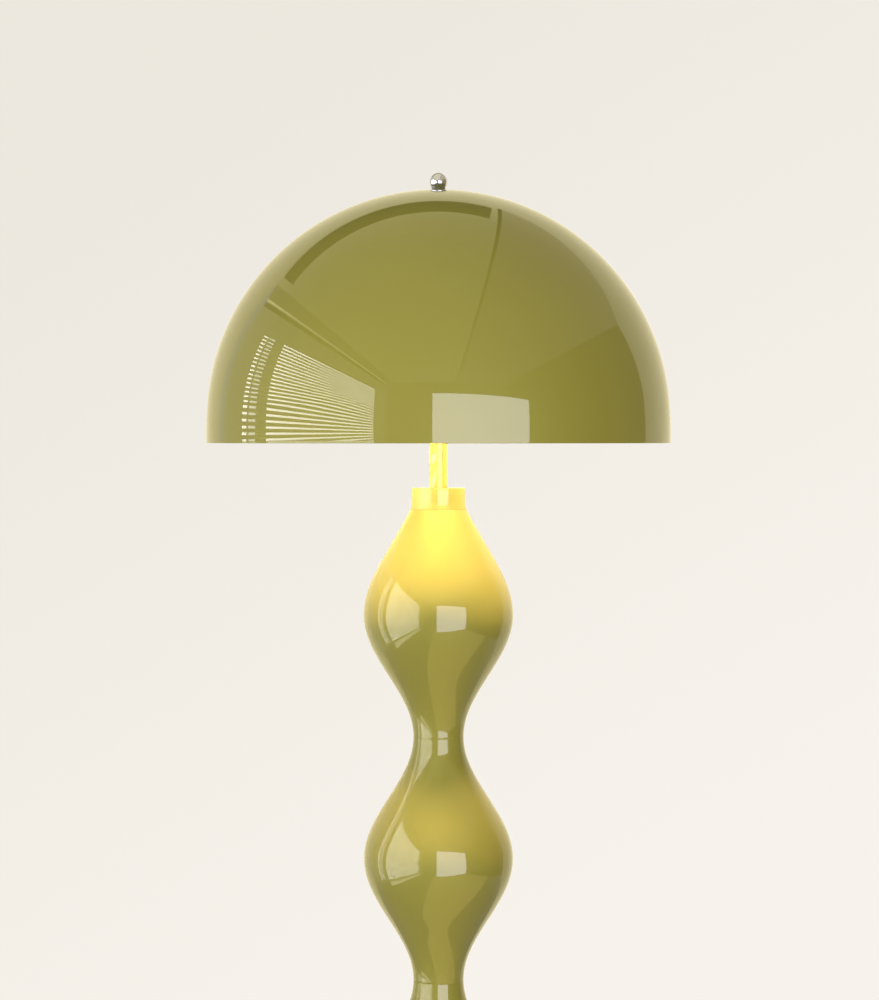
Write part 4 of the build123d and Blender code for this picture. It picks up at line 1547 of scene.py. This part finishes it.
@dataclass
class Card:
    """A flat card in the room, which the gloss shows: a wall, a window or a slat."""

    name: str
    centre: Point
    size: tuple[float, float]
    facing: Facing
    light: Colour
    turn: float = 0.0

    def build(self, bench: Bench) -> Piece:
        """Adds the card, facing its way, seen by gloss alone.

        Args:
            bench: The modelling bench.

        Returns:
            The card.
        """
        bench.clear()
        bpy.ops.mesh.primitive_plane_add(size=1.0, location=(0, 0, 0))
        card = bpy.context.object
        card.name = card.data.name = self.name
        facing, up = (Vector(way) for way in self.facing.value)
        turned = Matrix((up.cross(facing), up, facing)).transposed().to_4x4()
        turned = turned @ Matrix.Rotation(radians(self.turn), 4, "Z")
        scale = Matrix.Diagonal((*self.size, 1.0, 1.0))
        bench.place(card, Matrix.Translation(self.centre) @ turned @ scale)
        card.data.materials.append(self.glow())
        card.visible_camera = card.visible_diffuse = card.visible_shadow = False
        card.visible_transmission = card.visible_volume_scatter = False
        return card

    def glow(self) -> bpy.types.Material:
        """Makes the card's even glow, whose brightest channel is the strength.

        Returns:
            The glow's material.
        """
        strength = max(self.light)
        material = bpy.data.materials.new(f"{self.name}_glow")
        sheet = NodeSheet(material)
        colour = tuple(channel / strength for channel in self.light)
        emission = sheet.add("Emission", {"Color": colour, "Strength": strength})
        sheet.add("OutputMaterial", {"Surface": emission.outputs["Emission"]})
        return material


ROOM_LIGHT: dict[str, Colour] = {
    "backdrop_wall": (1.08, 0.97, 0.62),
    "left_wall": (0.85, 0.80, 0.50),
    "right_wall": (0.42, 0.34, 0.13),
    "front_wall": (0.55, 0.50, 0.24),
    "ceiling_left": (1.0, 0.93, 0.50),
    "ceiling_right": (0.72, 0.62, 0.38),
    "ceiling_seam": (0.05, 0.04, 0.02),
    "ceiling_strip": (0.03, 0.03, 0.01),
    "ceiling_shade": (0.58, 0.54, 0.26),
    "cornice": (2.4, 2.2, 1.2),
    "cornice_gap": (0.12, 0.11, 0.05),
    "daylit_floor": (3.2, 3.0, 2.2),
    "sunny_floor": (1.5, 1.15, 0.5),
    "floor_front": (0.50, 0.44, 0.26),
    "floor_back": (0.78, 0.72, 0.58),
    "front_window": (5.9, 5.7, 5.9),
}


@dataclass
class Room:
    """The room that the lacquer mirrors: walls, a ceiling with a dark strip, windows and blinds."""

    left: float = -1.597
    right: float = 2.12
    back: float = 1.065
    front: float = -3.55
    ceiling: float = 2.424
    left_rise: float = 0.01  # how much higher the ceiling's left part lies
    layer: float = 0.007  # between cards that lie over one another
    backdrop_left: float = -1.325
    seam: float = 0.433
    seam_width: float = 0.025
    seam_turn: float = -2.6
    turned_spare: float = 0.7  # how much longer the turned cards are, to reach both walls
    right_span: float = 2.8
    strip_middle: tuple[float, float] = (-0.466, 0.757)
    strip_size: tuple[float, float] = (1.505, 0.426)
    shade_width: float = 0.264
    cornice_width: float = 0.04
    gap_height: float = 0.056
    gap_drop: float = 0.073  # from the ceiling down to the gap's middle
    window_top: float = 2.084
    window_bottom: float = 0.10
    slat_pitch: float = 0.0377
    slat: float = 0.0142
    slat_stand_off: float = 0.02
    daylight: Colour = (11.0, 10.6, 10.0)
    width: float = field(init=False)
    depth: float = field(init=False)
    across: float = field(init=False)
    along: float = field(init=False)

    def __post_init__(self) -> None:
        """Works out the room's spans and its middle."""
        self.width, self.depth = self.right - self.left, self.back - self.front
        self.across, self.along = (self.left + self.right) / 2, (self.front + self.back) / 2

    def walls(self, bench: Bench) -> None:
        """Sets up the four walls.

        Args:
            bench: The modelling bench.
        """
        level, high = self.ceiling / 2, self.ceiling
        backdrop, span = (self.backdrop_left + self.right) / 2, self.right - self.backdrop_left
        for name, across, along, width, facing in (
            ("backdrop_wall", backdrop, self.back, span, Facing.FRONT),
            ("left_wall", self.left, self.along, self.depth, Facing.RIGHT),
            ("right_wall", self.right, self.along, self.depth, Facing.LEFT),
            ("front_wall", self.across, self.front, self.width, Facing.BACK),
        ):
            light = ROOM_LIGHT[name]
            Card(name, (across, along, level), (width, high), facing, light).build(bench)

    def overhead(self, bench: Bench) -> None:
        """Sets up the ceiling in its two tones, its dark strip, and the cornice over the windows.

        Args:
            bench: The modelling bench.
        """
        top, layer, turn, depth = self.ceiling, self.layer, self.seam_turn, self.depth
        right = (self.seam + self.right_span / 2, self.along)
        shade = (self.left + self.shade_width / 2, self.along)
        cornice = (self.left + self.cornice_width / 2, self.along)
        middle, seam = (self.across, self.along), (self.seam, self.along)
        long = depth + self.turned_spare
        for name, place, level, size, turned in (
            ("ceiling_left", middle, top + self.left_rise, (self.width, depth), 0.0),
            ("ceiling_right", right, top, (self.right_span, long), turn),
            ("ceiling_seam", seam, top - layer, (self.seam_width, long), turn),
            ("ceiling_strip", self.strip_middle, top - 2 * layer, self.strip_size, 0.0),
            ("ceiling_shade", shade, top - 3 * layer, (self.shade_width, depth), 0.0),
            ("cornice", cornice, top - 4 * layer, (self.cornice_width, depth), 0.0),
        ):
            centre, light = (*place, level), ROOM_LIGHT[name]
            Card(name, centre, size, Facing.DOWN, light, turned).build(bench)
        gap, centre = "cornice_gap", (self.left + layer, self.along, top - self.gap_drop)
        size = (depth, self.gap_height)
        Card(gap, centre, size, Facing.RIGHT, ROOM_LIGHT[gap]).build(bench)

    def below(self, bench: Bench) -> None:
        """Sets up the floor in its tones, with the daylight on it, and the window in front.

        Args:
            bench: The modelling bench.
        """
        floor = (self.width, self.depth)
        for name, centre, size, facing in (
            ("daylit_floor", (self.left + 0.16, -1.42, 0.001), (0.28, 2.63), Facing.UP),
            ("sunny_floor", (0.90, -1.6, 0.002), (2.4, 2.8), Facing.UP),
            ("floor_front", (self.across, self.along, -0.02), floor, Facing.UP),
            ("floor_back", (self.across, 0.71, -0.01), (self.width, 1.0), Facing.UP),
            ("front_window", (0.927, -2.13, 0.902), (2.056, 1.664), Facing.BACK),
        ):
            Card(name, centre, size, facing, ROOM_LIGHT[name]).build(bench)

    def blind(self, bench: Bench, name: str, near: float, far: float, share: float = 1.0) -> None:
        """Hangs one blind of level slats on the left wall.

        Args:
            bench: The modelling bench.
            name: The blind's name.
            near: Its end towards the front.
            far: Its end towards the back.
            share: Its light against full daylight.
        """
        light = tuple(share * channel for channel in self.daylight)
        level = self.window_bottom + self.slat_pitch / 2
        centre = (self.left + self.slat_stand_off, (near + far) / 2, level)
        slat = Card(name, centre, (far - near, self.slat), Facing.RIGHT, light).build(bench)
        bench.take(slat)
        stack = slat.modifiers.new("stack", "ARRAY")
        stack.count = int((self.window_top - self.window_bottom) / self.slat_pitch)
        stack.use_relative_offset = False
        stack.use_constant_offset = True
        stack.constant_offset_displace = (0, 0, self.slat_pitch)
        bpy.ops.object.modifier_apply(modifier=stack.name)

    def build(self, bench: Bench) -> None:
        """Sets the whole room up.

        Args:
            bench: The modelling bench.
        """
        self.walls(bench)
        self.overhead(bench)
        self.below(bench)
        self.blind(bench, "wide_blind", -2.735, -0.105)
        self.blind(bench, "narrow_blind_front", 0.104, 0.257, 0.5)
        self.blind(bench, "narrow_blind_back", 0.299, 0.410, 0.8)


@dataclass(frozen=True)
class SoftLamp:
    """A soft square studio lamp, which faces the middle of the floor lamp."""

    name: str
    place: Point
    power: float
    colour: Colour
    size: float = 1.8
    aim: Point = (0.0, 0.0, 1.0)

    def hang(self) -> Piece:
        """Hangs the lamp, where gloss doesn't show it.

        Returns:
            The lamp.
        """
        data = bpy.data.lights.new(self.name, "AREA")
        data.shape = "SQUARE"
        data.size = self.size
        data.energy = self.power
        data.color = self.colour
        lamp = bpy.data.objects.new(self.name, data)
        bpy.context.scene.collection.objects.link(lamp)
        lamp.location = self.place
        way = Vector(self.aim) - Vector(self.place)
        lamp.rotation_euler = way.to_track_quat("-Z", "Y").to_euler()
        lamp.visible_glossy = False
        return lamp


@dataclass
class Studio:
    """Floor, pale surroundings, soft lamps, the room that the gloss shows, and the camera."""

    floor_radius: float = 2.4
    floor_facets: int = 96
    floor_colour: Colour = srgb(238, 234, 226)
    floor_blot: float = 0.35
    blot_shade: float = 0.985
    floor_lift: float = 0.60  # glow that the camera alone sees
    fade_start: float = 0.45  # where the floor fades out, in shares of its radius
    fade_end: float = 0.98
    foot_cover: float = 0.135  # the floor is open within this radius, under the foot
    backdrop_high: Colour = srgb(236, 232, 223)
    backdrop_low: Colour = srgb(247, 243, 236)
    backdrop_change: tuple[float, float] = (-0.22, 0.18)  # view's rise at the low and the high tone
    backdrop_lean: float = -0.6  # below 0, the change climbs to the right
    ambient: Colour = srgb(255, 252, 246)
    ambient_strength: float = 0.40
    front_lamp: SoftLamp = SoftLamp("front_lamp", (-0.75, -3.1, 1.0), 62.0, srgb(252, 255, 250))
    back_lamp: SoftLamp = SoftLamp("back_lamp", (0.8, 3.2, 1.6), 34.0, srgb(255, 252, 246))
    glow_colour: Colour = (1.0, 0.745, 0.78)
    glow_power: float = 8.8
    camera_distance: float = 2.4
    camera_level: float = 1.2432
    camera_side: float = 0.001
    camera_dip: float = 1.393  # degrees below the level
    lens: float = 88.8
    film_width: float = 36.0

    def floor(self, bench: Bench) -> Piece:
        """Lays a pale round floor that fades out at its edge and leaves the view from below open.

        Args:
            bench: The modelling bench.

        Returns:
            The floor.
        """
        bench.clear()
        bpy.ops.mesh.primitive_circle_add(
            vertices=self.floor_facets, radius=self.floor_radius, fill_type="NGON"
        )
        floor = bpy.context.object
        floor.name = floor.data.name = "studio_floor"
        sheet = FinishSheet("studio_floor")
        darker = times(self.floor_colour, self.blot_shade)
        blots = sheet.shades(sheet.noise(self.floor_blot), darker, self.floor_colour)
        seen = sheet.add("LightPath").outputs["Is Camera Ray"]
        lift = sheet.maths("MULTIPLY", seen, self.floor_lift)
        sheet.set(Base_Color=blots, Roughness=1.0, Specular_IOR_Level=0.0)
        sheet.set(Emission_Color=self.floor_colour, Emission_Strength=lift)
        away = sheet.distance_from((0, 0, 0), flat=True)
        edge = self.floor_radius * self.fade_start, self.floor_radius * self.fade_end
        fade = sheet.spread(away, 0.0, 1.0, *edge)
        under = sheet.add("NewGeometry").outputs["Backfacing"]
        covered = sheet.maths("LESS_THAN", away, self.foot_cover)
        open_share = sheet.maths("MAXIMUM", sheet.maths("MAXIMUM", fade, under), covered)
        clear = sheet.add("BsdfTransparent").outputs["BSDF"]
        surface = {0: open_share, 1: sheet.shader.outputs["BSDF"], 2: clear}
        mix = sheet.add("MixShader", surface)
        sheet.put(sheet.output.inputs["Surface"], mix.outputs["Shader"])
        floor.data.materials.append(sheet.material)
        return floor

    def surroundings(self) -> None:
        """Makes the soft light all round, and the pale wall that camera, gloss and glass see."""
        world = bpy.data.worlds.new("studio")
        bpy.context.scene.world = world
        sheet = NodeSheet(world)
        soft = sheet.add(
            "Background", {"Color": self.ambient, "Strength": self.ambient_strength}
        ).outputs["Background"]
        way = sheet.add("SeparateXYZ", {"Vector": sheet.add("TexCoord").outputs["Generated"]})
        across, level = way.outputs["X"], way.outputs["Z"]
        height = sheet.maths("MULTIPLY_ADD", across, self.backdrop_lean, level)
        share = sheet.spread(height, 0.0, 1.0, *self.backdrop_change)
        tone = sheet.shades(share, self.backdrop_low, self.backdrop_high, 0.0, 1.0)
        wall = sheet.add("Background", {"Color": tone}).outputs["Background"]
        rays = sheet.add("LightPath").outputs
        seen = sheet.maths("MAXIMUM", rays["Is Camera Ray"], rays["Is Glossy Ray"])
        seen = sheet.maths("MAXIMUM", seen, rays["Is Transmission Ray"])
        mix = sheet.add("MixShader", {0: seen, 1: soft, 2: wall})
        sheet.add("OutputWorld", {"Surface": mix.outputs["Shader"]})

    def glow(self, lit: list[Piece], bulbs: Bulbs) -> None:
        """Lets the bulbs shine on the column, whose top they light far more than the room does.

        Args:
            lit: The pieces that the bulbs shine on.
            bulbs: The bulbs.
        """
        group = bpy.data.collections.new("lit_by_the_bulbs")
        for piece in lit:
            group.objects.link(piece)
        for number, matrix in enumerate(bulbs.axes.matrices(), start=1):
            data = bpy.data.lights.new(f"bulb_glow_{number}", "POINT")
            data.energy = self.glow_power
            data.color = self.glow_colour
            data.shadow_soft_size = bulbs.globe_radius
            glow = bpy.data.objects.new(data.name, data)
            bpy.context.scene.collection.objects.link(glow)
            glow.location = matrix @ Vector((0, 0, bulbs.globe_centre))
            glow.visible_glossy = False
            glow.light_linking.receiver_collection = group
            glow.light_linking.blocker_collection = group

    def camera(self) -> None:
        """Sets the camera up in front, at the height of the shade's rim."""
        data = bpy.data.cameras.new("front_camera")
        data.lens = self.lens
        data.sensor_width = self.film_width
        camera = bpy.data.objects.new("front_camera", data)
        bpy.context.scene.collection.objects.link(camera)
        camera.location = (self.camera_side, -self.camera_distance, self.camera_level)
        camera.rotation_euler = (pi / 2 - radians(self.camera_dip), 0, 0)
        bpy.context.scene.camera = camera

    def build(self, bench: Bench) -> None:
        """Sets the whole studio up, with a floor that the lamps spare so that it stays pale.

        Args:
            bench: The modelling bench.
        """
        bpy.context.scene.view_settings.view_transform = "Standard"
        spared = bpy.data.collections.new("spared_by_the_lamps")
        spared.objects.link(self.floor(bench))
        spared.collection_objects[0].light_linking.link_state = "EXCLUDE"
        self.surroundings()
        for lamp in (self.front_lamp, self.back_lamp):
            lamp.hang().light_linking.receiver_collection = spared
        Room().build(bench)
        self.camera()


def main() -> None:
    """Builds and dresses the lamp piece by piece, then sets up the studio."""
    logging.basicConfig(level=logging.INFO, format="%(name)s: %(message)s")
    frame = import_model()
    bench = Bench()
    axes = LampAxes()
    column, bulbs = Column(), Bulbs(axes)
    for assembly in (Shade(), Finial(), column, Foot(), Lampholders(axes), bulbs):
        assembly.build(bench)
        assembly.dress(bench)
        for piece in assembly.pieces:
            log.info("%s: %d faces", piece.name, len(piece.data.polygons))
    log.info("%d packed pieces dressed", Works(frame).dress())
    studio = Studio()
    studio.build(bench)
    studio.glow([*column.pieces, frame["nodes"]["mast_upper"]], bulbs)


if __name__ == "__main__":
    main()
